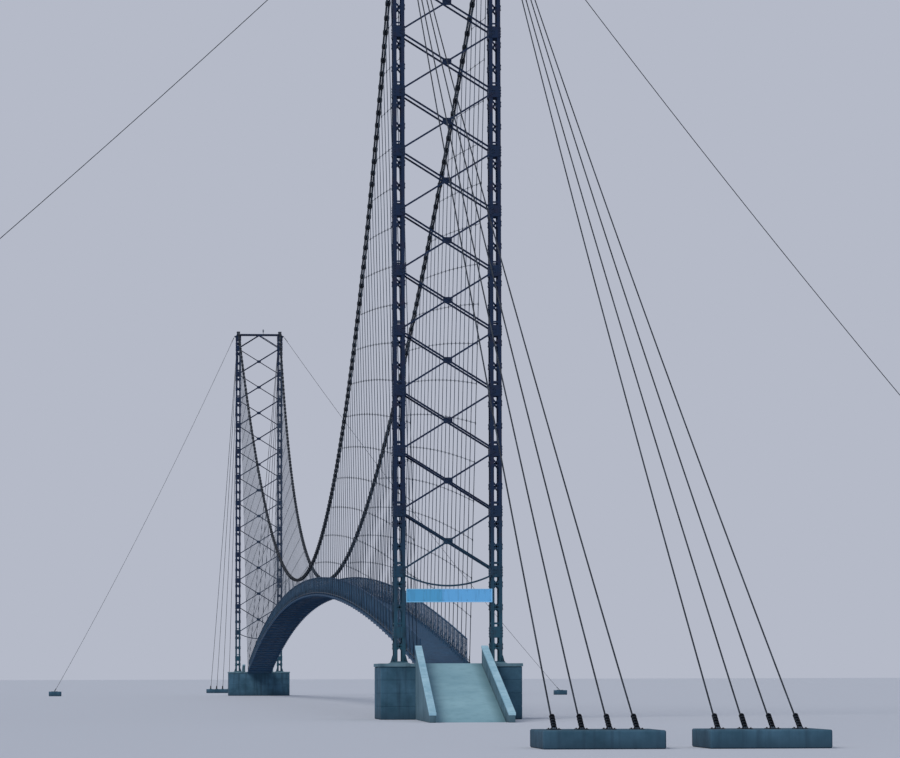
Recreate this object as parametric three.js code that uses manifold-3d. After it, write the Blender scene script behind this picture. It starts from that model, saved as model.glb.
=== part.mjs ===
import * as THREE from 'three';
import { mergeVertices } from 'three/addons/utils/BufferGeometryUtils.js';
import Module from 'manifold-3d';

const wasm = await Module();
wasm.setup();

// Suspension footbridge as a 1:10 scale model. Every size below is the real bridge's, in metres:
// X across the deck, Y along it from the near pylon to the far one, Z up from the ground.
const SCALE = 10;
const METRE = 1000 / SCALE; // model millimetres for one real metre
const GAP = 0.003; // clearance between neighbouring pieces, 0.3 mm on the model

const SPAN = 213; // between the pylon centres

// Pylons
const LEG_X = 2.02; // leg centre from the bridge's axis
const LEG_WIDTH = 0.47; // across the bridge
const LEG_DEPTH = 0.86; // along the bridge
const LEG_TOP = 35.0;
const CHORD = 0.1; // side of a corner post
const PLATE = 0.02;
const BATTEN_HEIGHT = 0.44;
const HEAD_HEIGHT = 0.5; // top of a leg, plated on all four sides
const NODE_COUNT = 13;
const NODE_STEP = 2.514;
const BRACED_NODES = 12; // nodes joined by the crossed diagonals, counted from the top
const LOWEST_BRACED_Z = 6.11;
const BASE_PLATE = 0.04;
const GUY_EAR = { reach: 0.12, width: 0.14, height: 0.14 };
const BRACE = { width: 0.075, depth: 0.04 };
const GUSSET_REACH = 0.08; // past the leg's inner edge
const APEX_PLATE = { halfWidth: 0.26, height: 0.18 };
const PORTAL_BRACE = { dipZ: 5.48, overlap: 0.02, steps: 8 }; // curved bar over the way through
const TOP_BEAM = { halfLength: 1.84, width: 0.08, height: 0.14, ties: [-1.2, -0.4, 0.4, 1.2] };
const LAMP = { stem: 0.025, stemHeight: 0.2, radius: 0.07, height: 0.3 };

// Foundations and ramps
const BLOCK = { halfWidth: 2.95, halfLength: 1.9, top: 2.3 };
const PLINTH = { width: 0.7, depth: 1.16, height: 0.05 }; // raised pad under each leg
const LEDGE = 0.25; // length of deck that rests on the block
const RAMP = { halfWidth: 1.22, length: 9.9, toe: 0.03 };
const PARAPET = { width: 0.28, length: 11, top: 3.03, lowTop: 0.38 };
const SPLAY = 0.32; // how far the left parapet and the ramp's left edge run out at the foot

// Sign board, which laps the left leg less than the right one
const SIGN = { left: -1.8, right: 1.84, bottom: 4.83, top: 5.39, depth: 0.03 };

// Deck and railings
const DECK_RISE = 4.95;
const DECK = { halfWidth: 1.06, depth: 0.06 };
const STRINGER = { width: 0.08, depth: 0.12 };
const RAILING = { x: 0.98, bar: 0.05, height: 1.05, levels: [0.1, 1.05], postEvery: 2 };

// Cables
const CABLE = { radius: 0.09, sides: 6, towerZ: 35.37, midZ: 8.54, towerX: LEG_X, midX: 1.0 };
const CABLE_BEND = [-1, -0.9, -0.45, 0, 0.45, 1]; // its stations over a saddle, as parts of the reach
const SADDLE_REACH = 0.45; // from the pylon's centre to the end of the bend over the saddle
const SADDLE = {
  halfLength: 0.3, cheekX: 0.105, cheek: 0.045, base: 0.03, seatSteps: 8,
  hoodZ: 35.36, hood: 0.02, peakZ: 35.42,
};
// Four ropes fan out sideways from each saddle; `fan` says where they meet the ground, from the leg's line
const STAY = {
  distance: 66.2, fan: [-1.035, -0.345, 0.345, 1.035],
  diameter: 0.05, sides: 5, steps: 6, sag: 0.55, spread: 0.045,
};
const STAY_BAND = { size: 0.2, length: 0.3, offset: 0.008 };
const GUY = { diameter: 0.035, sides: 5, steps: 6, sag: 0.92, topZ: 34.93 };
const GUY_REACH = { near_left: 40.4, near_right: 29.0, far_left: 17.9, far_right: 27.7 };
const ANCHOR = { halfWidth: 0.6, top: 0.45, stub: 0.11, sides: 6, ropeEndZ: 0.85, rootZ: 0.3 };
const STAY_ANCHOR = { margin: 0.45, behind: 1.0, ahead: 2.0 }; // concrete past the ropes' ground points

// Hanger nets: one hanger in six and one tie wire in four
const HANGER = { first: 2, spaces: 17, bar: 0.03, footX: 1.1 };
const TIE = { heights: [3.58, 10.13, 16.9, 23.9], thickness: 0.035, headroom: 0.35 };
const FOOT_ROPE = { height: 0.1, thickness: 0.05 };

const COLOUR = {
  steel: { color: 0x2b4459, roughness: 0.5, metalness: 0.5 },
  cable: { color: 0x1e2530, roughness: 0.55, metalness: 0.6 },
  wire: { color: 0x55626e, roughness: 0.5, metalness: 0.6 },
  concrete: { color: 0x92a8b6, roughness: 0.9, metalness: 0 },
  deck: { color: 0x3c4d5e, roughness: 0.7, metalness: 0.3 },
  sign: { color: 0x5a97c2, roughness: 0.45, metalness: 0.1 },
  lamp: { color: 0x73808c, roughness: 0.4, metalness: 0.1 },
};

const vector = (x, y, z) => new THREE.Vector3(x, y, z);
const bow = (t) => 4 * t * (1 - t); // 0 at both ends, 1 in the middle

// Solids

function asSolid(geometry) {
  const plain = geometry.clone();
  plain.deleteAttribute('normal');
  plain.deleteAttribute('uv');
  const merged = mergeVertices(plain, 1e-5);
  return new wasm.Manifold(new wasm.Mesh({
    numProp: 3,
    vertProperties: Float32Array.from(merged.attributes.position.array),
    triVerts: Uint32Array.from(merged.index.array),
  }));
}

function asGeometry(solid) {
  const { vertProperties, triVerts } = solid.getMesh();
  const geometry = new THREE.BufferGeometry();
  geometry.setAttribute('position', new THREE.BufferAttribute(vertProperties, 3));
  geometry.setIndex(new THREE.BufferAttribute(triVerts, 1));
  geometry.computeVertexNormals();
  return geometry;
}

function join(geometries) {
  return asGeometry(geometries.map(asSolid).reduce((whole, next) => whole.add(next)));
}

function cut(geometry, tool) {
  return asGeometry(asSolid(geometry).subtract(asSolid(tool)));
}

// The same solid on the other side of the bridge's axis, its faces still pointing out
function mirrored(geometry) {
  const index = geometry.index.array;
  for (let i = 0; i < index.length; i += 3) [index[i], index[i + 1]] = [index[i + 1], index[i]];
  geometry.scale(-1, 1, 1).computeVertexNormals();
  return geometry;
}

function box(low, high) {
  const size = high.map((value, axis) => value - low[axis]);
  const geometry = new THREE.BoxGeometry(...size);
  return geometry.translate(...low.map((value, axis) => value + size[axis] / 2));
}

// A square bar between two points; its thickness lies along `across`
function bar(from, to, width, thickness, across) {
  const along = to.clone().sub(from);
  const z = along.clone().normalize();
  const x = across.clone().addScaledVector(z, -across.dot(z)).normalize();
  const y = new THREE.Vector3().crossVectors(z, x);
  const basis = new THREE.Matrix4().makeBasis(x, y, z).setPosition(from.clone().lerp(to, 0.5));
  return new THREE.BoxGeometry(thickness, width, along.length()).applyMatrix4(basis);
}

// An outline of [y, z] points drawn from the side and carried across from x0 to x1
function acrossFromSide(outline, x0, x1) {
  const shape = new THREE.Shape(outline.map(([y, z]) => new THREE.Vector2(y, z)));
  const geometry = new THREE.ExtrudeGeometry(shape, { depth: x1 - x0, bevelEnabled: false });
  const turn = new THREE.Matrix4().makeBasis(vector(0, 1, 0), vector(0, 0, 1), vector(1, 0, 0));
  return geometry.applyMatrix4(turn).translate(x0, 0, 0);
}

// A line whose stations are spaced by its own formula, not by arc length
class StationCurve extends THREE.Curve {
  constructor(pointAt) {
    super();
    this.pointAt = pointAt;
  }

  getPoint(t, target = new THREE.Vector3()) {
    return target.copy(this.pointAt(t));
  }

  getUtoTmapping(u) {
    return u;
  }
}

function rope(pointAt, diameter, sides, steps) {
  const corners = Array.from({ length: sides }, (_, i) => {
    const angle = (2 * Math.PI * i) / sides;
    return new THREE.Vector2(Math.cos(angle), Math.sin(angle)).multiplyScalar(diameter / 2);
  });
  const path = new StationCurve(pointAt);
  return new THREE.ExtrudeGeometry(new THREE.Shape(corners), { extrudePath: path, steps });
}

// A straight run from point to point, all at even steps of t
function through(points) {
  const last = points.length - 1;
  return (t) => {
    const at = THREE.MathUtils.clamp(t * last, 0, last);
    const before = Math.min(Math.floor(at), last - 1);
    return points[before].clone().lerp(points[before + 1], at - before);
  };
}

// Part of a curve, from t0 to t1
const stretch = (pointAt, t0, t1) => (t) => pointAt(t0 + (t1 - t0) * t);

function piece(name, geometry, look) {
  const mesh = new THREE.Mesh(geometry.scale(METRE, METRE, METRE), new THREE.MeshStandardMaterial(look));
  mesh.name = name;
  return mesh;
}

function placed(mesh, x, y, z) {
  mesh.position.set(x * METRE, y * METRE, z * METRE);
  return mesh;
}

// Lines of the bridge

const nodeZ = (node) => LOWEST_BRACED_Z + NODE_STEP * (BRACED_NODES - node);
const towerSlope = (4 * (CABLE.towerZ - CABLE.midZ)) / SPAN;

function deckZ(y) {
  const length = SPAN - 2 * BLOCK.halfLength;
  const t = THREE.MathUtils.clamp((y - BLOCK.halfLength) / length, 0, 1);
  return BLOCK.top + DECK_RISE * bow(t);
}

function cableZ(y) {
  const hanging = (at) => CABLE.towerZ - (CABLE.towerZ - CABLE.midZ) * bow(at / SPAN);
  const beyondPylon = Math.min(y, SPAN - y);
  if (beyondPylon >= SADDLE_REACH) return hanging(y);
  const bend = (towerSlope * (SADDLE_REACH ** 2 - beyondPylon ** 2)) / (2 * SADDLE_REACH);
  return hanging(SADDLE_REACH) + bend;
}

function cableX(y) {
  const t = THREE.MathUtils.clamp(y / SPAN, 0, 1);
  return CABLE.towerX - (CABLE.towerX - CABLE.midX) * bow(t);
}

const hangerStep = (SPAN - 2 * HANGER.first) / HANGER.spaces;
const hangerY = Array.from({ length: HANGER.spaces + 1 }, (_, i) => HANGER.first + hangerStep * i);

// Pylons

function leg(side) {
  const halfWidth = LEG_WIDTH / 2;
  const halfDepth = LEG_DEPTH / 2;
  const bottom = BLOCK.top + PLINTH.height + GAP;
  const parts = [];
  for (const x of [-1, 1]) {
    for (const y of [-1, 1]) {
      const post = box([-CHORD / 2, -CHORD / 2, bottom], [CHORD / 2, CHORD / 2, LEG_TOP]);
      parts.push(post.translate(x * (halfWidth - CHORD / 2), y * (halfDepth - CHORD / 2), 0));
    }
  }
  const sidePlates = (low, high) => {
    parts.push(box([-halfWidth, -halfDepth, low], [PLATE - halfWidth, halfDepth, high]));
    parts.push(box([halfWidth - PLATE, -halfDepth, low], [halfWidth, halfDepth, high]));
  };
  const facePlates = (low, high) => {
    parts.push(box([-halfWidth, -halfDepth, low], [halfWidth, PLATE - halfDepth, high]));
    parts.push(box([-halfWidth, halfDepth - PLATE, low], [halfWidth, halfDepth, high]));
  };
  for (let node = 1; node <= NODE_COUNT; node += 1) {
    const ends = [nodeZ(node) - BATTEN_HEIGHT / 2, nodeZ(node) + BATTEN_HEIGHT / 2];
    sidePlates(...ends);
    if (node > BRACED_NODES) facePlates(...ends); // the bracing's own plates close the other nodes
  }
  sidePlates(LEG_TOP - HEAD_HEIGHT, LEG_TOP);
  facePlates(LEG_TOP - HEAD_HEIGHT, LEG_TOP);
  parts.push(box([-halfWidth, -halfDepth, bottom], [halfWidth, halfDepth, bottom + BASE_PLATE]));
  parts.push(box([-halfWidth, -halfDepth, LEG_TOP - 2 * PLATE], [halfWidth, halfDepth, LEG_TOP]));
  const ear = box([0, -GUY_EAR.width / 2, -GUY_EAR.height], [GUY_EAR.reach + PLATE, GUY_EAR.width / 2, 0]);
  if (side < 0) ear.rotateZ(Math.PI);
  parts.push(ear.translate(side * (halfWidth - PLATE), 0, LEG_TOP));
  return join(parts);
}

// One flat side of the pylon: crossed diagonals, gusset plates on the legs and the inverted V on top.
// It is drawn for the side that faces -Y, with its inner plane on the legs
function bracing(withPortalBrace) {
  const inner = -LEG_DEPTH / 2 - GAP;
  const middle = inner - BRACE.depth / 2;
  const across = vector(0, 1, 0);
  const parts = [];
  const diagonal = (x0, z0, x1, z1) => {
    const from = vector(x0, middle, z0);
    const to = vector(x1, middle, z1);
    const trim = LEG_WIDTH / 4 / from.distanceTo(to); // its ends stop inside the gusset plates
    const start = from.clone().lerp(to, Math.abs(x0) < LEG_X ? 0 : trim);
    const end = from.clone().lerp(to, 1 - trim);
    parts.push(bar(start, end, BRACE.width, BRACE.depth, across));
  };
  const plate = (x0, x1, z, height) => {
    parts.push(box([x0, inner - BRACE.depth, z - height / 2], [x1, inner, z + height / 2]));
  };
  const outerX = LEG_X + LEG_WIDTH / 2;
  const innerX = LEG_X - LEG_WIDTH / 2 - GUSSET_REACH;
  for (let node = 1; node <= BRACED_NODES; node += 1) {
    plate(-outerX, -innerX, nodeZ(node), BATTEN_HEIGHT);
    plate(innerX, outerX, nodeZ(node), BATTEN_HEIGHT);
    if (node === BRACED_NODES) break;
    diagonal(-LEG_X, nodeZ(node), LEG_X, nodeZ(node + 1));
    diagonal(LEG_X, nodeZ(node), -LEG_X, nodeZ(node + 1));
  }
  const apexZ = LEG_TOP + TOP_BEAM.height / 2;
  plate(-APEX_PLATE.halfWidth, APEX_PLATE.halfWidth, apexZ - PLATE, APEX_PLATE.height);
  diagonal(0, apexZ - BRACE.width / 2, -LEG_X, nodeZ(1));
  diagonal(0, apexZ - BRACE.width / 2, LEG_X, nodeZ(1));
  if (withPortalBrace) {
    const endZ = nodeZ(BRACED_NODES) - BATTEN_HEIGHT / 2 + BRACE.width / 2;
    const { dipZ, overlap, steps } = PORTAL_BRACE;
    const hanging = (t) => vector(-innerX + 2 * innerX * t, middle, endZ - (endZ - dipZ) * bow(t));
    parts.push(rope(stretch(hanging, -overlap, 1 + overlap), BRACE.width, 4, steps));
  }
  return join(parts);
}

function topBeam() {
  const halfDepth = LEG_DEPTH / 2;
  const end = TOP_BEAM.halfLength;
  const low = LEG_TOP + GAP;
  const high = low + TOP_BEAM.height;
  const parts = [
    box([-end, -halfDepth, low], [end, TOP_BEAM.width - halfDepth, high]),
    box([-end, halfDepth - TOP_BEAM.width, low], [end, halfDepth, high]),
  ];
  for (const x of TOP_BEAM.ties) {
    const half = TOP_BEAM.width / 2;
    parts.push(box([x - half, half - halfDepth, low + PLATE], [x + half, halfDepth - half, high - PLATE]));
  }
  return join(parts);
}

// The cable lies on a rounded seat between two cheeks, under a pointed cover
function saddle() {
  const bottom = LEG_TOP + GAP;
  const { halfLength, cheekX, cheek, base, hoodZ, hood, peakZ, seatSteps } = SADDLE;
  const width = cheekX + cheek;
  const seatTop = Array.from({ length: seatSteps + 1 }, (_, i) => {
    const y = halfLength - (2 * halfLength * i) / seatSteps;
    const lean = Math.hypot(1, (towerSlope * y) / SADDLE_REACH);
    return [y, cableZ(Math.abs(y)) - (CABLE.radius + GAP) * lean];
  });
  const outline = [[-halfLength, bottom], [halfLength, bottom], ...seatTop];
  const roof = new THREE.ConeGeometry(1, peakZ - hoodZ - hood / 2, 4);
  roof.rotateY(Math.PI / 4).rotateX(Math.PI / 2);
  roof.scale(width * Math.SQRT2, halfLength * Math.SQRT2, 1);
  roof.translate(0, 0, (hoodZ + hood / 2 + peakZ) / 2);
  return join([
    box([-width, -halfLength, bottom], [width, halfLength, bottom + base]),
    acrossFromSide(outline, -cheekX - cheek / 2, cheekX + cheek / 2),
    box([-width, -halfLength, bottom], [-cheekX, halfLength, hoodZ + hood]),
    box([cheekX, -halfLength, bottom], [width, halfLength, hoodZ + hood]),
    box([-width, -halfLength, hoodZ], [width, halfLength, hoodZ + hood]),
    roof,
  ]);
}

function lamp() {
  const { stem, stemHeight, radius, height } = LAMP;
  const profile = [
    [0, 0], [2 * stem, 0], [2 * stem, stem], [stem, stem], [stem, stemHeight],
    [radius, stemHeight + radius / 2], [radius, stemHeight + height - radius],
    [radius / 2, stemHeight + height - radius / 4], [0, stemHeight + height],
  ];
  const points = profile.map(([r, z]) => new THREE.Vector2(r, z));
  const bottom = LEG_TOP + TOP_BEAM.height - PLATE + 2 * GAP;
  return new THREE.LatheGeometry(points, 8).rotateX(Math.PI / 2).translate(0, 0, bottom);
}

// Foundations and ramps

function foundation() {
  const { halfWidth, halfLength, top } = BLOCK;
  const edge = DECK.halfWidth + STRINGER.width + GAP;
  const block = box([-halfWidth, -halfLength, 0], [halfWidth, halfLength, top]);
  const seatFloor = top - STRINGER.depth - GAP;
  const seat = box([-edge, halfLength - LEDGE - GAP, seatFloor], [edge, halfLength + LEDGE, top + LEDGE]);
  const half = { x: PLINTH.width / 2, y: PLINTH.depth / 2 };
  const plinths = [-LEG_X, LEG_X].map((x) => (
    box([x - half.x, -half.y, top - PLINTH.height], [x + half.x, half.y, top + PLINTH.height])
  ));
  return join([cut(block, seat), ...plinths]);
}

const rampEnd = -BLOCK.halfLength - GAP;

// What lies left of the axis is moved out, more and more towards the ramp's foot
function splayed(geometry) {
  const { position } = geometry.attributes;
  for (let i = 0; i < position.count; i += 1) {
    const shift = (SPLAY * (rampEnd - position.getY(i))) / PARAPET.length;
    if (position.getX(i) < 0) position.setX(i, position.getX(i) - shift);
  }
  geometry.computeVertexNormals();
  return geometry;
}

function ramp() {
  const foot = rampEnd - RAMP.length;
  const outline = [[foot, 0], [rampEnd, 0], [rampEnd, BLOCK.top], [foot, RAMP.toe]];
  return splayed(acrossFromSide(outline, -RAMP.halfWidth, RAMP.halfWidth));
}

function parapet(side) {
  const foot = rampEnd - PARAPET.length;
  const inner = RAMP.halfWidth + GAP;
  const edges = [side * inner, side * (inner + PARAPET.width)].sort((a, b) => a - b);
  const outline = [[foot, 0], [rampEnd, 0], [rampEnd, PARAPET.top], [foot, PARAPET.lowTop]];
  return splayed(acrossFromSide(outline, ...edges));
}

function signBoard() {
  const inner = -LEG_DEPTH / 2 - GAP;
  return box([SIGN.left, inner - SIGN.depth, SIGN.bottom], [SIGN.right, inner, SIGN.top]);
}

// Backstays and guys; every rope runs down to its point on the ground and ends in a stub of the anchor

function hangingLine(from, to, sag) {
  return (t) => from.clone().lerp(to, t).add(vector(0, 0, -sag * bow(t)));
}

const ropeEnd = (from) => 1 - ANCHOR.ropeEndZ / from.z;

function ropeAndStub(line, from, diameter, sides, steps) {
  const end = ropeEnd(from);
  const root = 1 - ANCHOR.rootZ / from.z;
  const seam = GAP / from.length();
  return {
    rope: rope(stretch(line, 0, end), diameter, sides, steps),
    stub: rope(stretch(line, end + seam, root), ANCHOR.stub, ANCHOR.sides, 1),
  };
}

function backstay(side) {
  const top = vector(side * LEG_X, -SADDLE_REACH, cableZ(-SADDLE_REACH));
  const down = vector(side * LEG_X, -STAY.distance, 0).sub(top).normalize();
  const bandStart = top.clone().addScaledVector(down, STAY_BAND.offset);
  const bandEnd = bandStart.clone().addScaledVector(down, STAY_BAND.length);
  const ropes = [bar(bandStart, bandEnd, STAY_BAND.size, STAY_BAND.size, vector(1, 0, 0))];
  const stubs = [];
  STAY.fan.forEach((reach, i) => {
    const shift = vector(Math.sign(reach) * STAY.spread, 0, i % 2 ? STAY.spread : -STAY.spread);
    const from = top.clone().addScaledVector(down, STAY_BAND.length / 2).add(shift);
    const line = hangingLine(from, vector(side * LEG_X + reach, -STAY.distance, 0), STAY.sag);
    const parts = ropeAndStub(line, from, STAY.diameter, STAY.sides, STAY.steps);
    ropes.push(parts.rope);
    stubs.push(parts.stub);
  });
  const { margin, behind, ahead } = STAY_ANCHOR;
  const [left, right] = [STAY.fan[0] - margin, STAY.fan.at(-1) + margin].map((x) => side * LEG_X + x);
  const sill = box([left, -STAY.distance - behind, 0], [right, -STAY.distance + ahead, ANCHOR.top]);
  return { ropes: join(ropes), anchor: join([sill, ...stubs]) };
}

function guy(side, reach) {
  const from = vector(side * (LEG_X + LEG_WIDTH / 2 + GUY_EAR.reach + GAP + GUY.diameter / 2), 0, GUY.topZ);
  const groundX = side * (LEG_X + reach);
  const line = hangingLine(from, vector(groundX, 0, 0), GUY.sag);
  const { rope: guyRope, stub } = ropeAndStub(line, from, GUY.diameter, GUY.sides, GUY.steps);
  const half = ANCHOR.halfWidth;
  const middle = groundX - (side * half) / 2;
  const block = box([middle - half, -half, 0], [middle + half, half, ANCHOR.top]);
  return { rope: guyRope, anchor: join([block, stub]) };
}

// Deck, railings, cables and hanger nets

const deckStations = [BLOCK.halfLength - LEDGE, BLOCK.halfLength, ...hangerY,
  SPAN - BLOCK.halfLength, SPAN - BLOCK.halfLength + LEDGE];

function strip(stations, low, high, x0, x1) {
  const lower = stations.map((y) => [y, deckZ(y) + low]);
  const upper = stations.map((y) => [y, deckZ(y) + high]).reverse();
  return acrossFromSide([...lower, ...upper], x0, x1);
}

function deck() {
  const edge = DECK.halfWidth + STRINGER.width;
  const overStringers = DECK.halfWidth + STRINGER.width / 2;
  return join([
    strip(deckStations, -DECK.depth, 0, -overStringers, overStringers),
    strip(deckStations, -STRINGER.depth, 0, -edge, -DECK.halfWidth),
    strip(deckStations, -STRINGER.depth, 0, DECK.halfWidth, edge),
  ]);
}

function railing(side) {
  const half = RAILING.bar / 2;
  const x = side * RAILING.x;
  const stations = [BLOCK.halfLength, ...hangerY, SPAN - BLOCK.halfLength];
  const rails = RAILING.levels.map((top) => strip(stations, top - RAILING.bar, top, x - half, x + half));
  const last = stations.length - 1;
  const posted = stations.filter((_, i) => i % RAILING.postEvery === 0 || i === last);
  const posts = posted.map((y) => {
    const at = THREE.MathUtils.clamp(y, stations[0] + half, stations[last] - half);
    const top = deckZ(at) + RAILING.height - half;
    return box([x - half, at - half, deckZ(at) + GAP], [x + half, at + half, top]);
  });
  return join([...rails, ...posts]);
}

function mainCable(side) {
  const bend = CABLE_BEND.map((part) => part * SADDLE_REACH);
  const stations = [...bend, ...hangerY, ...bend.map((y) => SPAN - y).reverse()];
  const points = stations.map((y) => vector(side * cableX(y), y, cableZ(y)));
  return rope(through(points), 2 * CABLE.radius, CABLE.sides, points.length - 1);
}

// A point of the hanger plane, at a height over the deck
function netPoint(y, height) {
  const full = cableZ(y) - deckZ(y);
  const x = THREE.MathUtils.lerp(HANGER.footX, cableX(y), height / full);
  return vector(x, y, deckZ(y) + height);
}

function netLine(stations, height, thickness) {
  const points = stations.map((y) => netPoint(y, height));
  return rope(through(points), thickness, 4, points.length - 1);
}

function rightHangerNet() {
  const parts = hangerY.map((y) => {
    const slope = (4 * (CABLE.towerZ - CABLE.midZ) * Math.abs(1 - (2 * y) / SPAN)) / SPAN;
    const clear = (CABLE.radius + GAP) * Math.hypot(1, slope) + (slope * HANGER.bar) / 2;
    const top = cableZ(y) - deckZ(y) - clear;
    return bar(netPoint(y, GAP), netPoint(y, top), HANGER.bar, HANGER.bar, vector(0, 1, 0));
  });
  parts.push(netLine(hangerY, FOOT_ROPE.height, FOOT_ROPE.thickness));
  for (const height of TIE.heights) {
    const reached = hangerY.filter((y) => cableZ(y) - deckZ(y) > height + TIE.headroom);
    const nearRun = reached.filter((y) => y < SPAN / 2);
    const farRun = reached.filter((y) => y > SPAN / 2);
    for (const run of [nearRun, farRun]) {
      if (run.length > 1) parts.push(netLine(run, height, TIE.thickness));
    }
  }
  return join(parts);
}

// Assembly

function bridgeEnd(end) {
  const turned = end === 'far';
  const group = new THREE.Group();
  group.rotation.z = turned ? Math.PI : 0;
  group.position.y = turned ? SPAN * METRE : 0;
  group.add(piece(`${end}_foundation`, foundation(), COLOUR.concrete));
  group.add(piece(`${end}_ramp`, ramp(), COLOUR.concrete));
  group.add(piece(`${end}_outer_bracing`, bracing(true), COLOUR.steel));
  const innerBracing = piece(`${end}_inner_bracing`, bracing(false), COLOUR.steel);
  innerBracing.rotation.z = Math.PI;
  group.add(innerBracing);
  group.add(piece(`${end}_top_beam`, topBeam(), COLOUR.steel));
  const lampX = TOP_BEAM.ties[turned ? 1 : 2]; // on the bridge's right at both ends
  group.add(placed(piece(`${end}_lamp`, lamp(), COLOUR.lamp), lampX, 0, 0));
  for (const side of [-1, 1]) {
    const name = `${end}_${(turned ? -side : side) < 0 ? 'left' : 'right'}`;
    group.add(placed(piece(`${name}_leg`, leg(side), COLOUR.steel), side * LEG_X, 0, 0));
    group.add(placed(piece(`${name}_saddle`, saddle(), COLOUR.steel), side * LEG_X, 0, 0));
    group.add(piece(`${name}_parapet`, parapet(side), COLOUR.concrete));
    const stays = backstay(side);
    group.add(piece(`${name}_backstays`, stays.ropes, COLOUR.cable));
    group.add(piece(`${name}_backstay_anchor`, stays.anchor, COLOUR.concrete));
    const guyParts = guy(side, GUY_REACH[name]);
    group.add(piece(`${name}_guy`, guyParts.rope, COLOUR.cable));
    group.add(piece(`${name}_guy_anchor`, guyParts.anchor, COLOUR.concrete));
  }
  return group;
}

const bridge = new THREE.Group();
bridge.add(bridgeEnd('near'), bridgeEnd('far'));
bridge.add(piece('sign_board', signBoard(), COLOUR.sign));
bridge.add(piece('deck', deck(), COLOUR.deck));
for (const [name, side] of [['left', -1], ['right', 1]]) {
  bridge.add(piece(`${name}_main_cable`, mainCable(side), COLOUR.cable));
  bridge.add(piece(`${name}_railing`, railing(side), COLOUR.steel));
}

bridge.add(piece('right_hanger_net', rightHangerNet(), COLOUR.wire));
bridge.add(piece('left_hanger_net', mirrored(rightHangerNet()), COLOUR.wire));

export default bridge;
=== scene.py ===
# Suspension footbridge on two latticed steel pylons, a 1:10 model.
# All sizes below are the real bridge's, in metres: X across the deck, Y from the near pylon to
# the far one, Z up. A finished piece is brought to the model's scale as its last step.
import math
import bpy
import bmesh
from mathutils import Matrix, Vector


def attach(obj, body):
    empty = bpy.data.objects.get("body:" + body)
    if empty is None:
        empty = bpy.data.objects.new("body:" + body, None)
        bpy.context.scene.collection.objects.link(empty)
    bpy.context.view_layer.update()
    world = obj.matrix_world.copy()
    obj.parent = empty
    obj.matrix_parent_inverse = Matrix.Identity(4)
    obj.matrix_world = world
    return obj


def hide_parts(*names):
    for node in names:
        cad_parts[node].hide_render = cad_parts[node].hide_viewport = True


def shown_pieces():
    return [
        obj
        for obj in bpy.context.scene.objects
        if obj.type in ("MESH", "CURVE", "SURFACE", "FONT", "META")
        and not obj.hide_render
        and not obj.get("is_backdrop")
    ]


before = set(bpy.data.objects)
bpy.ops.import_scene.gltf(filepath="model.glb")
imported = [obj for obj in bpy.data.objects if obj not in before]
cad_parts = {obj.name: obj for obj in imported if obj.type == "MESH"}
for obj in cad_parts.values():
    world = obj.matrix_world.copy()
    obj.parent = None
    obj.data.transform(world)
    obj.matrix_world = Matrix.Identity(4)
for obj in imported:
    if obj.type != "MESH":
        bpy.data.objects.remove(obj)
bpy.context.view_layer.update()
modelScale = 0.1
span = 213.0
gap = 0.003
across, along, up = Vector((1, 0, 0)), Vector((0, 1, 0)), Vector((0, 0, 1))
print("frame loaded:", len(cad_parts), "nodes")

# Camera, light and floor, in metres of the model

camera = {"place": (-1.3673, -15.8419, 0.1732), "yaw": 4.98, "pitch": 4.466, "roll": -0.15,
          "lens": 152.72, "sensor": 36.0, "clip": (0.05, 400.0)}
light = {"sky": "#B5BAC8", "fill": 0.8, "sun": 1.6, "sunColour": "#FFF6EC", "softness": 30.0,
         "sunTurn": (52.0, 0.0, -38.0)}
floor = {"size": 700.0, "colour": "#C6CEDA", "roughness": 0.9, "specular": 0.1}


def linear(hexColour):
    channels = [int(hexColour[i:i + 2], 16) / 255 for i in (1, 3, 5)]
    return [c / 12.92 if c <= 0.04045 else ((c + 0.055) / 1.055) ** 2.4 for c in channels] + [1.0]


def plug(tree, node, inputs):
    # a node is linked by the first output that it uses, and a hex colour is made linear
    for key, value in inputs.items():
        if isinstance(value, bpy.types.Node):
            value = next(socket for socket in value.outputs if socket.enabled)
        if isinstance(value, bpy.types.NodeSocket):
            tree.links.new(value, node.inputs[key])
        else:
            node.inputs[key].default_value = linear(value) if isinstance(value, str) else value


def addNode(tree, kind, inputs, **settings):
    node = tree.nodes.new("ShaderNode" + kind)
    for key, value in settings.items():
        setattr(node, key, value)
    plug(tree, node, inputs)
    return node


def startMaterial(name, roughness, specular, metallic=0.0):
    material = bpy.data.materials.new(name)
    material.use_nodes = True
    tree = material.node_tree
    shader = tree.nodes["Principled BSDF"]
    plug(tree, shader, {"Roughness": roughness, "Specular IOR Level": specular, "Metallic": metallic})
    return material, tree, shader


def placeCamera():
    yaw, pitch, roll = (math.radians(camera[key]) for key in ("yaw", "pitch", "roll"))
    look = Vector((math.sin(yaw) * math.cos(pitch), math.cos(yaw) * math.cos(pitch), math.sin(pitch)))
    right = look.cross(up).normalized()
    top = right.cross(look)
    rolledRight = right * math.cos(roll) + top * math.sin(roll)
    rolledTop = top * math.cos(roll) - right * math.sin(roll)
    turn = Matrix((rolledRight, rolledTop, -look)).transposed().to_4x4()
    lens = bpy.data.cameras.new("camera")
    lens.lens, lens.sensor_width = camera["lens"], camera["sensor"]
    lens.clip_start, lens.clip_end = camera["clip"]
    holder = bpy.data.objects.new("camera", lens)
    holder.matrix_world = Matrix.Translation(camera["place"]) @ turn
    bpy.context.scene.collection.objects.link(holder)
    bpy.context.scene.camera = holder


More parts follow.
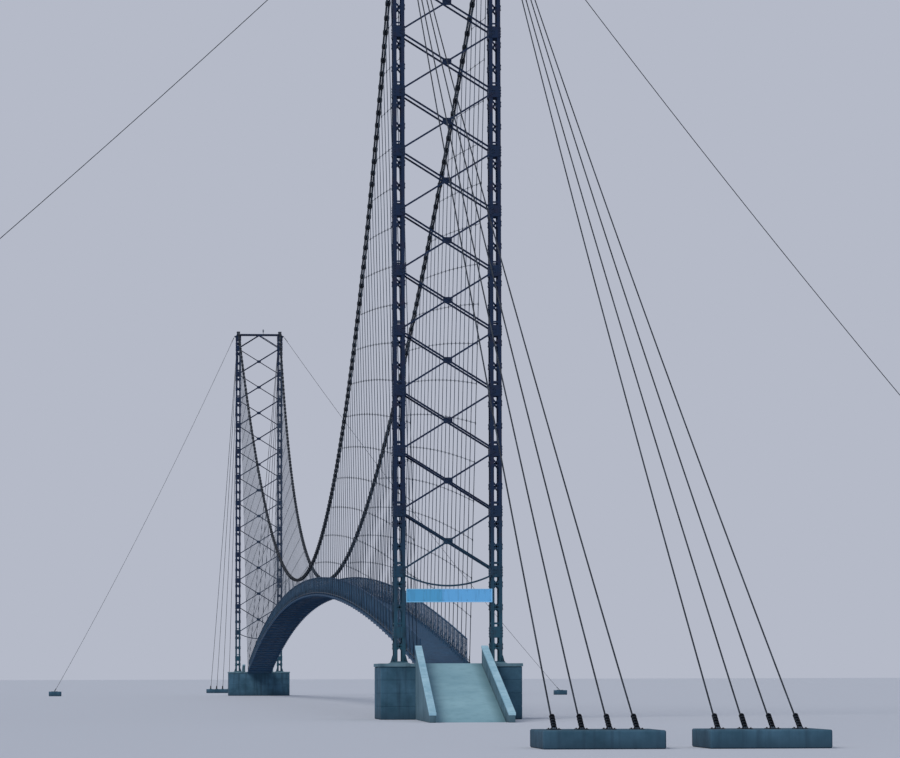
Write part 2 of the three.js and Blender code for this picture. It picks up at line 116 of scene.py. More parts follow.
def lightStage():
    # the sky is seen at its own colour, and lights the bridge a little less
    scene = bpy.context.scene
    scene.view_settings.view_transform = "Standard"
    scene.world = bpy.data.worlds.new("pale sky")
    scene.world.use_nodes = True
    tree = scene.world.node_tree
    backdrop = tree.nodes["Background"]
    plug(tree, backdrop, {"Color": light["sky"]})
    soft = addNode(tree, "Background", {"Color": light["sky"], "Strength": light["fill"]})
    seen = addNode(tree, "LightPath", {}).outputs["Is Camera Ray"]
    both = addNode(tree, "MixShader", {0: seen, 1: soft, 2: backdrop})
    plug(tree, tree.nodes["World Output"], {"Surface": both})
    sun = bpy.data.lights.new("soft sun", "SUN")
    sun.energy, sun.angle = light["sun"], math.radians(light["softness"])
    sun.color = linear(light["sunColour"])[:3]
    holder = bpy.data.objects.new("soft sun", sun)
    holder.rotation_euler = [math.radians(angle) for angle in light["sunTurn"]]
    scene.collection.objects.link(holder)


def layFloor():
    bm = bmesh.new()
    bmesh.ops.create_grid(bm, x_segments=1, y_segments=1, size=floor["size"] / 2)
    mesh = bpy.data.meshes.new("floor")
    bm.to_mesh(mesh)
    bm.free()
    paper, tree, shader = startMaterial("matt studio floor", floor["roughness"], floor["specular"])
    plug(tree, shader, {"Base Color": floor["colour"]})
    mesh.materials.append(paper)
    ground = bpy.data.objects.new("floor", mesh)
    bpy.context.scene.collection.objects.link(ground)
    ground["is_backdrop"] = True


placeCamera()
lightStage()
layFloor()
print("camera, light and floor set")

# Materials: a pattern's scale comes from the size of its features on the real bridge, in millimetres


def perFeature(millimetres):
    return 1000 / (millimetres * modelScale)


def addBlend(tree, under, over, value, start, end, low=0.0, high=1.0):
    # the colour `over` on the colour `under`: its share goes from `low` to `high` as the value goes from
    # `start` to `end`
    share = addNode(tree, "MapRange", {"Value": value, "From Min": start, "From Max": end, "To Min": low,
                                       "To Max": high})
    return addNode(tree, "Mix", {0: share, 6: under, 7: over}, data_type="RGBA")


def addLayer(tree, under, over, place, size, spread, detail, amount=1.0, roughness=0.5):
    # the colour `over` on the colour `under`, where a noise with features of that size rises past `spread`
    noise = addNode(tree, "TexNoise", {"Vector": place, "Scale": perFeature(size), "Detail": detail,
                                       "Roughness": roughness})
    return addBlend(tree, under, over, noise, *spread, 0.0, amount), noise


def addRuns(tree, under, over, place, stretch, *layer):
    # a layer that is drawn out downwards, as rain leaves it
    drawn = addNode(tree, "Mapping", {"Vector": place, "Scale": (1.0, 1.0, stretch)})
    return addLayer(tree, under, over, drawn, *layer)[0]


def weatherSteel(name, look):
    # Brushed oil paint on rolled steel: dull, greener and paler near the ground, with brown where rust
    # bleeds through in patches and dark runs below the joints
    glossier, duller = look["roughness"]
    material, tree, shader = startMaterial(name, glossier, look["specular"])
    place = addNode(tree, "TexCoord", {}).outputs["Object"]
    height = addNode(tree, "SeparateXYZ", {0: place}).outputs["Z"]
    low, high = (z * modelScale for z in look["change"])
    paint = addBlend(tree, look["low"], look["high"], height, low, high)
    rusty, patch = addLayer(tree, paint, look["rust"], place, look["patch"], (0.48, 0.7), 5.0,
                            look["rustAmount"], 0.62)
    streaked = addRuns(tree, rusty, look["runColour"], place, look["runStretch"], look["run"], (0.5, 0.75),
                       3.0, look["runAmount"])
    sheen = addNode(tree, "MapRange", {"Value": patch, "To Min": glossier, "To Max": duller})
    brush = addNode(tree, "TexNoise", {"Vector": place, "Scale": perFeature(look["grain"]), "Detail": 2.0})
    relief = addNode(tree, "Bump", {"Height": brush, "Strength": look["relief"], "Distance": 0.0004})
    plug(tree, shader, {"Base Color": streaked, "Roughness": sheen, "Normal": relief})
    return material


def layRope(name, look):
    # Galvanised wire rope dressed with bitumen: the strands show as slanting ribs, painted dark in their
    # grooves as shade and pale on their crowns as a highlight.
    # The map runs round the rope in X and counts metres of rope in Y
    material, tree, shader = startMaterial(name, look["roughness"], look["specular"], look["metallic"])
    spot = addNode(tree, "TexCoord", {})
    spread = addNode(tree, "Mapping", {"Vector": spot.outputs["UV"], "Scale": (1.0, 1 / look["lay"], 1.0)})
    parts = addNode(tree, "SeparateXYZ", {0: spread}).outputs
    wound = addNode(tree, "Math", {0: parts["X"], 1: parts["Y"]}, operation="ADD")
    turned = addNode(tree, "Math", {0: wound, 1: look["strands"] * 2 * math.pi}, operation="MULTIPLY")
    strand = addNode(tree, "Math", {0: turned}, operation="SINE")
    # painted shade in the strand grooves and a painted highlight on their crowns, set by the strand wave
    strandShadeAndHighlight = addBlend(tree, look["groove"], look["crownHighlight"], strand, -1.0, 1.0)
    both, _ = addLayer(tree, strandShadeAndHighlight, look["worn"], spot.outputs["Object"], look["grime"], (0.45, 0.7), 3.0,
                       look["wear"])
    relief = addNode(tree, "Bump", {"Height": strand, "Strength": 0.5, "Distance": 0.0006})
    plug(tree, shader, {"Base Color": both, "Normal": relief})
    return material


def coatWire(name, look):
    # An even coat on wire and small fittings, such as dipped zinc, plastic or black paint, or the dust on
    # glass: smooth, with pale and dark blooms
    material, tree, shader = startMaterial(name, look["roughness"], look["specular"], look["metallic"])
    place = addNode(tree, "TexCoord", {}).outputs["Object"]
    mixed, bloom = addLayer(tree, look["dark"], look["pale"], place, look["bloom"], (0.35, 0.65), 4.0)
    relief = addNode(tree, "Bump", {"Height": bloom, "Strength": 0.25, "Distance": 0.0003})
    plug(tree, shader, {"Base Color": mixed, "Normal": relief})
    return material


rawConcrete = {"roughness": 0.85, "specular": 0.25, "footDarkeningTop": 0.5, "runStretch": 0.06}


def castConcrete(name, look):
    # Site-cast concrete: matt and grainy, with board marks, darker towards the foot, and rain streaks
    material, tree, shader = startMaterial(name, rawConcrete["roughness"], rawConcrete["specular"])
    place = addNode(tree, "TexCoord", {}).outputs["Object"]
    axes = addNode(tree, "SeparateXYZ", {0: place}).outputs
    colour, _ = addLayer(tree, look["dark"], look["pale"], place, look["cloud"], (0.35, 0.68), 6.0, 1.0, 0.6)
    footDarkeningTop = rawConcrete["footDarkeningTop"] * modelScale
    # darker towards the foot, over the lowest half metre
    colour = addBlend(tree, colour, look["stain"], axes["Z"], 0.0, footDarkeningTop, look["footDarkening"], 0.0)
    colour = addRuns(tree, colour, look["stain"], place, rawConcrete["runStretch"], look["streak"],
                     (0.5, 0.72), 4.0, look["runAmount"])
    if "wallBand" in look:  # darker along the wall on the ramp's +X side
        start, end, amount = look["wallBand"]
        colour = addBlend(tree, colour, look["wallBandColour"], axes["X"], start * modelScale, end * modelScale, 0.0,
                          amount)
    grit = addNode(tree, "TexNoise", {"Vector": place, "Scale": perFeature(look["grit"]), "Detail": 3.0})
    board = addNode(tree, "Math", {0: axes["Z"], 1: perFeature(look["board"])}, operation="MULTIPLY")
    step = addNode(tree, "Math", {0: board, 1: 1.0}, operation="PINGPONG")
    seam = addNode(tree, "MapRange", {"Value": step, "From Max": 0.08})
    rough = addNode(tree, "Bump", {"Height": grit, "Strength": 0.5, "Distance": 0.0006})
    marks = addNode(tree, "Bump", {"Height": seam, "Strength": 0.4, "Distance": 0.0008, "Normal": rough})
    plug(tree, shader, {"Base Color": colour, "Normal": marks})
    return material


def enamelSign(name, look):
    # Sky-blue enamel on sheet metal: smooth and a little glossy, its two sheets faded unalike,
    # with dirt in runs from the top edge
    material, tree, shader = startMaterial(name, look["roughness"], 0.4)
    place = addNode(tree, "TexCoord", {}).outputs["Object"]
    x = addNode(tree, "SeparateXYZ", {0: place}).outputs["X"]
    half = addNode(tree, "Math", {0: x, 1: look["seam"] * modelScale}, operation="GREATER_THAN")
    sheets = addNode(tree, "Mix", {0: half, 6: look["left"], 7: look["right"]}, data_type="RGBA")
    dirty = addRuns(tree, sheets, look["dirt"], place, look["runStretch"], look["run"], (0.5, 0.75), 4.0,
                    look["runAmount"])
    plug(tree, shader, {"Base Color": dirty})
    return material


pylonPaint = weatherSteel("oil-painted rolled steel", {
    "low": "#2A5468", "high": "#172B49", "change": (3.0, 9.0), "rust": "#382C38", "rustAmount": 0.4,
    "runColour": "#111925", "runAmount": 0.5, "patch": 500, "run": 60, "runStretch": 0.07, "grain": 25,
    "roughness": (0.55, 0.8), "specular": 0.2, "relief": 0.3})
boltSteel = coatWire("zinc-plated bolt steel", {
    "dark": "#1A2533", "pale": "#3C4C60", "bloom": 60, "roughness": 0.5, "specular": 0.3, "metallic": 0.4})
# the groove colour is painted shade and the crown colour a painted highlight on the strands
ropeSteel = layRope("bitumen-dressed wire rope", {
    "lay": 0.33, "strands": 6, "groove": "#141A22", "crownHighlight": "#323E4C", "worn": "#55616F", "wear": 0.5,
    "grime": 900, "roughness": 0.6, "specular": 0.25, "metallic": 0.2})
clampIron = coatWire("black-painted cast iron", {
    "dark": "#090D14", "pale": "#151D28", "bloom": 90, "roughness": 0.6, "specular": 0.2, "metallic": 0.0})
netWire = coatWire("hot-dip galvanised wire", {
    "dark": "#2C3B4C", "pale": "#4E5F72", "bloom": 700, "roughness": 0.55, "specular": 0.3, "metallic": 0.3})
knotWire = coatWire("dull galvanised clip", {
    "dark": "#1E2731", "pale": "#3A4652", "bloom": 300, "roughness": 0.6, "specular": 0.25, "metallic": 0.2})
meshCoat = coatWire("plastic-coated mesh wire", {
    "dark": "#2A465E", "pale": "#416484", "bloom": 900, "roughness": 0.6, "specular": 0.2, "metallic": 0.0})
deckPaint = weatherSteel("painted deck steel", {
    "low": "#355A7A", "high": "#2C4E6E", "change": (2.0, 7.0), "rust": "#403C46", "rustAmount": 0.35,
    "runColour": "#1A2838", "runAmount": 0.5, "patch": 400, "run": 120, "runStretch": 1.0, "grain": 20,
    "roughness": (0.6, 0.85), "specular": 0.2, "relief": 0.35})
# the ramp is darker along the wall on its +X side
rampConcrete = castConcrete("floated concrete", {
    "dark": "#7CA6B6", "pale": "#93BCCA", "stain": "#6A92A2", "cloud": 2600, "grit": 14, "streak": 400,
    "board": 2600, "footDarkening": 0.15, "runAmount": 0.3, "wallBand": (0.75, 1.15, 0.75), "wallBandColour": "#587C88"})
# the coping's concrete is made paler as painted light on its sky-facing top
copingConcreteLit = castConcrete("coping concrete, pale as painted light from above", {
    "dark": "#8EBBD0", "pale": "#ACD4E6", "stain": "#76A0B4", "cloud": 900, "grit": 14, "streak": 300,
    "board": 2600, "footDarkening": 0.1, "runAmount": 0.35})
# the same concrete made darker as painted shade on the parapet walls' faces; also the mid tone of the
# foundation's slab and plinths
concreteInHalfShade = castConcrete("board-marked concrete in painted half shade", {
    "dark": "#4E6E7E", "pale": "#678898", "stain": "#354E5C", "cloud": 1200, "grit": 14, "streak": 180,
    "board": 190, "footDarkening": 0.6, "runAmount": 0.55})
# the darkest concrete: painted deep shade on the foundation's faces, used on the anchor blocks too
concreteInDeepShade = castConcrete("mass concrete, stained and darkened as painted shade", {
    "dark": "#2F5266", "pale": "#466C84", "stain": "#23394A", "cloud": 900, "grit": 16, "streak": 200,
    "board": 210, "footDarkening": 0.7, "runAmount": 0.6})
signEnamel = enamelSign("enamelled sheet metal", {
    "left": "#54A9DC", "right": "#6AB8F2", "seam": -0.26, "dirt": "#3F7398", "run": 90, "runAmount": 0.4,
    "runStretch": 0.08, "roughness": 0.4})
# the rim's enamel is the sheets' blue made paler as a painted highlight along the edges
rimEnamelHighlight = enamelSign("rolled rim enamel, paler as a painted highlight", {
    "left": "#7CC4EC", "right": "#8CCBFA", "seam": -0.26, "dirt": "#5F97BC", "run": 60, "runAmount": 0.4,
    "runStretch": 0.08, "roughness": 0.35})
lampGlass = coatWire("dusty opal lamp glass", {
    "dark": "#5E6975", "pale": "#86929E", "bloom": 120, "roughness": 0.25, "specular": 0.5, "metallic": 0.0})
print("materials made")

# Shapes that several pieces share

boltHead = {"size": 0.036, "tall": 0.55, "foot": 0.62, "top": 0.5}  # the last three are shares of the size


def paintFaces(verts, slot):
    for face in {face for vert in verts for face in vert.link_faces}:
        face.material_index = slot


def bevelEdges(bm, edges, offset, segments=1):
    bmesh.ops.bevel(bm, geom=list(edges), offset=offset, offset_type="OFFSET", affect="EDGES",
                    segments=segments, profile=0.5, material=-1)


def addBlock(bm, corner, opposite, slot=0, chamfer=0.0):
    low, high = (Vector([pick(pair) for pair in zip(corner, opposite)]) for pick in (min, max))
    place = Matrix.Translation((low + high) / 2) @ Matrix.Diagonal((*(high - low), 1))
    verts = bmesh.ops.create_cube(bm, size=1, matrix=place)["verts"]
    paintFaces(verts, slot)
    if chamfer:
        bevelEdges(bm, {edge for vert in verts for edge in vert.link_edges}, chamfer)
    return verts


def addPad(bm, x, y, halfSizes, low, high, slot=0, chamfer=0.0):
    # a block round an upright axis
    halfX, halfY = halfSizes
    addBlock(bm, (x - halfX, y - halfY, low), (x + halfX, y + halfY, high), slot, chamfer)


def barFrame(start, end, towards):
    ahead = (end - start).normalized()
    third = (towards - ahead * towards.dot(ahead)).normalized()
    side = third.cross(ahead)
    return Matrix((side, third, ahead)).transposed().to_4x4()


def addBar(bm, start, end, width, depth, towards, slot=0):
    # a flat bar; its depth lies along `towards`
    start, end = Vector(start), Vector(end)
    place = Matrix.Translation((start + end) / 2) @ barFrame(start, end, towards)
    size = Matrix.Diagonal((width, depth, (end - start).length, 1))
    verts = bmesh.ops.create_cube(bm, size=1, matrix=place @ size)["verts"]
    paintFaces(verts, slot)


def addRod(bm, start, end, radius, sides=6, slot=0, radiusEnd=None):
    start, end = Vector(start), Vector(end)
    ahead = (end - start).normalized()
    towards = along if abs(ahead.y) < 0.9 else up
    place = Matrix.Translation((start + end) / 2) @ barFrame(start, end, towards)
    verts = bmesh.ops.create_cone(bm, cap_ends=True, cap_tris=False, segments=sides, radius1=radius,
                                  radius2=radius if radiusEnd is None else radiusEnd,
                                  depth=(end - start).length, matrix=place)["verts"]
    paintFaces(verts, slot)


def addBolts(bm, spots, outwards, size=boltHead["size"], slot=1):
    # hexagon heads that taper a little outwards
    for spot in spots:
        spot = Vector(spot)
        tip = spot + outwards * size * boltHead["tall"]
        addRod(bm, spot, tip, size * boltHead["foot"], 6, slot, size * boltHead["top"])


def onlyVerts(parts):
    return [part for part in parts if isinstance(part, bmesh.types.BMVert)]


def addProfile(bm, outline, depth, slot=0):
    # a closed outline in a plane, extruded by the vector `depth`
    face = bm.faces.new([bm.verts.new(point) for point in outline])
    moved = onlyVerts(bmesh.ops.extrude_face_region(bm, geom=[face])["geom"])
    bmesh.ops.translate(bm, vec=depth, verts=moved)
    verts = moved + list(face.verts)
    paintFaces(verts, slot)
    return verts


def sideOutline(x, points):
    # an outline that is seen from the side, by its Y and Z
    return [Vector((x, y, z)) for y, z in points]


def addRun(bm, points, height, depth):
    # a band of the given height along a line of points, extruded by the vector `depth`
    verts = [bm.verts.new(point) for point in points]
    edges = [bm.edges.new(pair) for pair in zip(verts, verts[1:])]
    raised = bmesh.ops.extrude_edge_only(bm, edges=edges)["geom"]
    bmesh.ops.translate(bm, vec=height, verts=onlyVerts(raised))
    faces = [part for part in raised if isinstance(part, bmesh.types.BMFace)]
    grown = bmesh.ops.extrude_face_region(bm, geom=faces)["geom"]
    bmesh.ops.translate(bm, vec=depth, verts=onlyVerts(grown))


def angleOutline(heel, first, second, leg, thickness):
    # an L of two legs that start at the heel
    a, b = first * leg, second * leg
    s, t = first * thickness, second * thickness
    return [heel, heel + a, heel + a + t, heel + s + t, heel + b + s, heel + b]


def addWires(bm, runs, radius, slot=0, fine=0):
    # rods or ropes through lists of points, all one curve that is then made a mesh; the map's Y counts
    # metres along the first of them
    curve = bpy.data.curves.new("wire", "CURVE")
    curve.dimensions, curve.use_fill_caps = "3D", True
    curve.bevel_depth, curve.bevel_resolution = radius, fine
    for run in runs:
        spline = curve.splines.new("POLY")
        spline.points.add(len(run) - 1)
        for point, place in zip(spline.points, run):
            point.co = (*place, 1)
    holder = bpy.data.objects.new("wire", curve)
    mesh = bpy.data.meshes.new_from_object(holder)
    length = sum((b - a).length for a, b in zip(runs[0], runs[0][1:]))
    for corner in mesh.uv_layers[0].data:
        corner.uv.y *= length
    for face in mesh.polygons:
        face.material_index = slot
    part = bmesh.new()
    part.from_mesh(mesh)
    bmesh.ops.remove_doubles(part, verts=part.verts, dist=1e-5)
    part.to_mesh(mesh)
    part.free()
    bm.from_mesh(mesh)
    bpy.data.objects.remove(holder)
    bpy.data.curves.remove(curve)
    bpy.data.meshes.remove(mesh)


def asPattern(bm, name):
    # a unit that is stamped many times
    mesh = bpy.data.meshes.new(name)
    bm.to_mesh(mesh)
    bm.free()
    return mesh


def stamp(bm, pattern, places):
    for place in places:
        copy = pattern.copy()
        copy.transform(place)
        if place.determinant() < 0:
            copy.flip_normals()
        bm.from_mesh(copy)
        bpy.data.meshes.remove(copy)


def moveTo(*place):
    return Matrix.Translation(place)


# where copies of a piece go; a key fills the braces in the piece's name
still, mirrorX = Matrix(), Matrix.Diagonal((-1, 1, 1, 1))
halfTurn = Matrix.Rotation(math.pi, 4, "Z")
farTurn = moveTo(0, span, 0) @ halfTurn
once = {"": still}
bothEnds = {"near": still, "far": farTurn}
fourCorners = {"near_left": still, "near_right": mirrorX, "far_right": farTurn, "far_left": farTurn @ mirrorX}


def finishPiece(nameForm, source, materials, places):
    # brings a piece to the model's scale and puts its copies in for the CAD nodes of their names
    for key, place in places.items():
        name = nameForm.format(key)
        bm = source.copy()
        bmesh.ops.transform(bm, matrix=place, verts=bm.verts)
        bmesh.ops.scale(bm, vec=(modelScale,) * 3, verts=bm.verts)
        bmesh.ops.recalc_face_normals(bm, faces=bm.faces)
        mesh = bpy.data.meshes.new(name)
        bm.to_mesh(mesh)
        bm.free()
        for material in materials:
            mesh.materials.append(material)
        piece = bpy.data.objects.new(name + "_made", mesh)
        bpy.context.scene.collection.objects.link(piece)
        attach(piece, "root")
        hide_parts(name)
    source.free()


# The lines that the bridge follows

line = {"blockHalf": 1.9, "blockTop": 2.3, "deckRise": 4.95, "towerCableZ": 35.37, "midCableZ": 8.54,
        "towerX": 2.02, "midX": 1.0, "saddleReach": 0.45, "hangerFootX": 1.1}
bundle = {"radius": 0.04, "x": 0.052, "z": 0.042}  # the four ropes of a main cable and their spacing
towerSlope = 4 * (line["towerCableZ"] - line["midCableZ"]) / span


def bow(t):
    return 4 * t * (1 - t)


def deckZ(y):
    t = (y - line["blockHalf"]) / (span - 2 * line["blockHalf"])
    return line["blockTop"] + line["deckRise"] * bow(min(max(t, 0), 1))


def cableZ(y):
    reach = line["saddleReach"]
    beyond = min(y, span - y)
    fall = (line["towerCableZ"] - line["midCableZ"]) * bow(max(beyond, reach) / span)
    seat = towerSlope * (reach ** 2 - beyond ** 2) / (2 * reach) if beyond < reach else 0
    return line["towerCableZ"] - fall + seat


def cableX(y):
    return line["towerX"] - (line["towerX"] - line["midX"]) * bow(min(max(y / span, 0), 1))


def netPoint(y, height):
    share = height / (cableZ(y) - deckZ(y))
    foot = line["hangerFootX"]
    return Vector((foot + (cableX(y) - foot) * share, y, deckZ(y) + height))


def tilt(heightAt, y, reach):
    # the turn that lays a piece along a line's slope
    return Matrix.Rotation(math.atan((heightAt(y + reach) - heightAt(y - reach)) / (2 * reach)), 4, "X")


# Pylon legs: four angle irons with plates at the nodes and crossed lacing between them. A zone is given
# by its distance from a plate and its half height

leg = {"x": 2.02, "width": 0.47, "depth": 0.86, "bottom": 2.353, "top": 35.0, "angle": 0.14, "steel": 0.012,
       "plate": 0.46, "nodes": 13, "nodeStep": 2.514, "lowestBraced": 6.11, "bracedNodes": 12,
       "lacing": 0.075, "lacingSteel": 0.008, "lacingEnd": 0.04, "crossZones": ((0.3, 0.24), (1.25, 0.24)),
       "footZone": (0.36, 0.2), "headZone": (0.2, 0.16), "strut": 1.92, "strutWide": 0.07,
       "strutEnd": 0.03,
       "splice": (0.26, 0.09, 0.016), "spliceBolts": (-0.08, 0.08), "boltRows": (-0.17, -0.06, 0.06, 0.17),
       "sideBolts": (-0.37, -0.27, 0.27, 0.37), "faceBolts": (-0.17, 0.17), "head": 0.5}
foot = {"half": (0.33, 0.55), "thick": 0.04, "rib": 0.016, "ribTall": 0.24, "ribTop": 0.02, "ribEnd": 0.01,
        "ribsAlong": (-0.37, 0, 0.37), "ribsAcross": (-0.14, 0.14), "boltsAlong": (-0.47, -0.2, 0.2, 0.47),
        "boltInset": 0.06, "stud": (0.09, 0.015), "nut": (0.035, 0.03), "chamfer": 0.006}
cap = {"thick": 0.03, "lip": 0.015, "pin": 0.018, "pinOut": 0.1, "pinHalf": 0.07, "earShift": 0.045,
       "ear": ((0, 0.2), (0.06, 0.17), (0.125, 0.1), (0.125, 0.02), (0, 0.005)), "chamfer": 0.005}


def nodeZ(node):
    return leg["lowestBraced"] + leg["nodeStep"] * (leg["bracedNodes"] - node)


def addSidePlates(bm, low, high):
    # the two bolted plates on the leg's narrow sides
    half, deep, middle = leg["width"] / 2, leg["depth"] / 2, (low + high) / 2
    outer = half + leg["steel"]
    for x in (-1, 1):
        addBlock(bm, (x * half, -deep, low), (x * outer, deep, high))
        addBolts(bm, [(x * outer, y, middle + rise) for y in leg["sideBolts"] for rise in leg["boltRows"]],
                 across * x)


def addFacePlates(bm, low, high):
    # and the two on its wide sides, where no bracing meets it
    half, deep, middle = leg["width"] / 2, leg["depth"] / 2, (low + high) / 2
    outer = deep + leg["steel"]
    for y in (-1, 1):
        addBlock(bm, (-half, y * deep, low), (half, y * outer, high))
        addBolts(bm, [(x, y * outer, middle + rise) for x in leg["faceBolts"] for rise in leg["boltRows"]],
                 along * y)


def addLacing(bm, middle, halfHeight):
    # one crossed zone on each of the four faces, and the splices level with it
    low, high = middle - halfHeight, middle + halfHeight
    wide, thin = leg["lacing"], leg["lacingSteel"]
    inX, inY = (leg[side] / 2 - leg["steel"] - thin / 2 for side in ("width", "depth"))
    endX, endY = (leg[side] / 2 - leg["lacingEnd"] for side in ("width", "depth"))
    for side in (-1, 1):
        for first, last in ((low, high), (high, low)):
            addBar(bm, (-endX, side * inY, first), (endX, side * inY, last), wide, thin, along)
            addBar(bm, (side * inX, -endY, first), (side * inX, endY, last), wide, thin, across)
    addSplices(bm, middle)


def addSplices(bm, height):
    # small bolted plates outside the four chords
    tall, wide, thick = leg["splice"]
    for x in (-1, 1):
        for y in (-1, 1):
            inner, middle = x * leg["width"] / 2, y * (leg["depth"] / 2 - leg["angle"] / 2)
            outer = inner + x * thick
            addBlock(bm, (inner, middle - wide / 2, height - tall / 2),
                     (outer, middle + wide / 2, height + tall / 2))
            addBolts(bm, [(outer, middle, height + rise) for rise in leg["spliceBolts"]], across * x)


def makeBay():
    # from the middle of a node plate down to the next one
    bm = bmesh.new()
    half, deep, wide, thin = leg["width"] / 2, leg["depth"] / 2, leg["strutWide"], leg["lacingSteel"]
    plateFoot = -leg["plate"] / 2
    addSidePlates(bm, plateFoot, -plateFoot)
    for below, halfHeight in leg["crossZones"]:
        addLacing(bm, plateFoot - below, halfHeight)
    z = plateFoot - leg["strut"]
    inX, inY = (size - leg["steel"] - thin / 2 for size in (half, deep))
    endX, endY = (size - leg["strutEnd"] for size in (half, deep))
    for side in (-1, 1):
        addBar(bm, (-endX, side * inY, z), (endX, side * inY, z), wide, thin, along)
        addBar(bm, (side * inX, -endY, z), (side * inX, endY, z), wide, thin, across)
    return asPattern(bm, "bay")


def makeLeg():
    bm = bmesh.new()
    half, deep = leg["width"] / 2, leg["depth"] / 2
    for x in (-1, 1):
        for y in (-1, 1):
            heel = Vector((x * half, y * deep, leg["bottom"]))
            outline = angleOutline(heel, -across * x, -along * y, leg["angle"], leg["steel"])
            addProfile(bm, outline, up * (leg["top"] - leg["bottom"]))
    stamp(bm, makeBay(), [moveTo(0, 0, nodeZ(node)) for node in range(1, leg["nodes"])])
    lowest, tall = nodeZ(leg["nodes"]), leg["plate"] / 2
    for low, high in ((lowest - tall, lowest + tall), (leg["top"] - leg["head"], leg["top"] - cap["thick"])):
        addSidePlates(bm, low, high)
        addFacePlates(bm, low, high)
    addLacing(bm, lowest - tall - leg["footZone"][0], leg["footZone"][1])
    addLacing(bm, nodeZ(1) + tall + leg["headZone"][0], leg["headZone"][1])
    addFoot(bm)
    addCap(bm)
    return bm


def addRib(bm, outwards, width, start, end, shift):
    # a tapered stiffener between the base plate and the leg's foot; `width` is its thickness direction
    low, tall = leg["bottom"] + foot["thick"], foot["ribTall"]
    outline = [width * (shift - foot["rib"] / 2) + outwards * reach + up * (low + height)
               for reach, height in ((start, 0), (end, 0), (start + foot["ribTop"], tall), (start, tall))]
    addProfile(bm, outline, width * foot["rib"])


def addFoot(bm):
    (wide, deep), low = foot["half"], leg["bottom"]
    top = low + foot["thick"]
    addPad(bm, 0, 0, foot["half"], low, top, chamfer=foot["chamfer"])
    for side in (-1, 1):
        for y in foot["ribsAlong"]:
            addRib(bm, across * side, along, leg["width"] / 2, wide - foot["ribEnd"], y)
        for x in foot["ribsAcross"]:
            addRib(bm, along * side, across, leg["depth"] / 2, deep - foot["ribEnd"], x)
        for y in foot["boltsAlong"]:
            at = Vector((side * (wide - foot["boltInset"]), y, top))
            for tall, radius in (foot["stud"], foot["nut"]):
                addRod(bm, at, at + up * tall, radius, 6, 1)


def addCap(bm):
    # the top plate, and a pair of ears on the outer side that hold the guy's pin
    half, deep, top = leg["width"] / 2 + cap["lip"], leg["depth"] / 2 + cap["lip"], leg["top"]
    addPad(bm, 0, 0, (half, deep), top - cap["thick"], top, chamfer=cap["chamfer"])
    for shift in (-cap["earShift"], cap["earShift"]):
        ear = [Vector((-half - reach, shift - foot["rib"] / 2, top - below)) for reach, below in cap["ear"]]
        addProfile(bm, ear, along * foot["rib"])
    pinX, pinZ = -half - cap["pinOut"], top - cap["pinHalf"]
    addRod(bm, (pinX, -cap["pinHalf"], pinZ), (pinX, cap["pinHalf"], pinZ), cap["pin"], 8, 1)


pylonLook = [pylonPaint, boltSteel]
onLegs = {key: place @ moveTo(-leg["x"], 0, 0) for key, place in fourCorners.items()}
finishPiece("{}_leg", makeLeg(), pylonLook, onLegs)
print("legs made")

# Bracing between the legs: angle irons on node plates, with bolts given from the leg's middle

brace = {"face": 0.433, "width": 0.075, "flange": 0.04, "steel": 0.009, "reach": 0.02,
         "endBolts": ((0.04, 0.05), (0.12, 0.085), (0.23, 0.14)), "crossPlate": (0.19, 0.13),
         "crossBolts": ((0, 0), (-0.12, -0.07), (-0.12, 0.07), (0.12, -0.07), (0.12, 0.07)),
         "stop": 0.32, "apexHalf": 0.26, "apexTall": 0.18, "apexZ": 35.05, "apexBolts": (-0.2, 0, 0.2),
         "apexRows": (-0.05, 0.05), "apexDrop": 0.02, "crossSteel": (0.013, 0.001), "crossBolt": 0.034,
         "dipZ": 5.48, "archSteps": 16, "archRise": 0.01, "archDeep": 0.024, "archLap": 0.02,
         "archBolts": (0.02, 0.06), "plate": 0.014, "chamfer": 0.003}


def addDiagonal(bm, start, end, layer, flangeOut):
    # an angle iron: its flat leg lies on the node plates, `layer` steels out from them
    start, end = Vector(start), Vector(end)
    steel = brace["steel"]
    face = -brace["face"] - brace["plate"] - steel * layer
    ahead = (end - start).normalized()
    fromApex = abs(start.x) < 1
    first = start if fromApex else start + ahead * (leg["width"] / 4)
    last = end - ahead * (leg["width"] / 4)
    middle = face - steel / 2
    addBar(bm, (first.x, middle, first.z), (last.x, middle, last.z), brace["width"], steel, along)
    side = Vector((-ahead.z, 0, ahead.x))
    shift = side * math.copysign(brace["width"] / 2 - steel / 2, side.z)
    depth = brace["flange"]
    standing = face - steel - depth / 2 if flangeOut else face + depth / 2
    stop = brace["stop"]  # the standing leg stops short of the plates
    a, b = start + ahead * stop + shift, end - ahead * stop + shift
    addBar(bm, (a.x, standing, a.z), (b.x, standing, b.z), steel, depth, along)


def addGusset(bm, z, low, high, tall, columns, rows):
    # a plate from x = low to x = high with a grid of bolts
    face = -brace["face"] - brace["plate"]
    addBlock(bm, (low, face, z - tall / 2), (high, -brace["face"], z + tall / 2),
             chamfer=brace["chamfer"])
    addBolts(bm, [(column, face, z + row) for column in columns for row in rows], -along)


def makeGusset(outer, inner, overBars):
    bm = bmesh.new()
    addGusset(bm, 0, -outer, -inner, leg["plate"], [x - leg["x"] for x in leg["faceBolts"]], leg["boltRows"])
    addBolts(bm, [(reach - leg["x"], overBars, z) for reach, rise in brace["endBolts"]
                  for z in (-rise, rise)], -along)
    return asPattern(bm, "gusset")


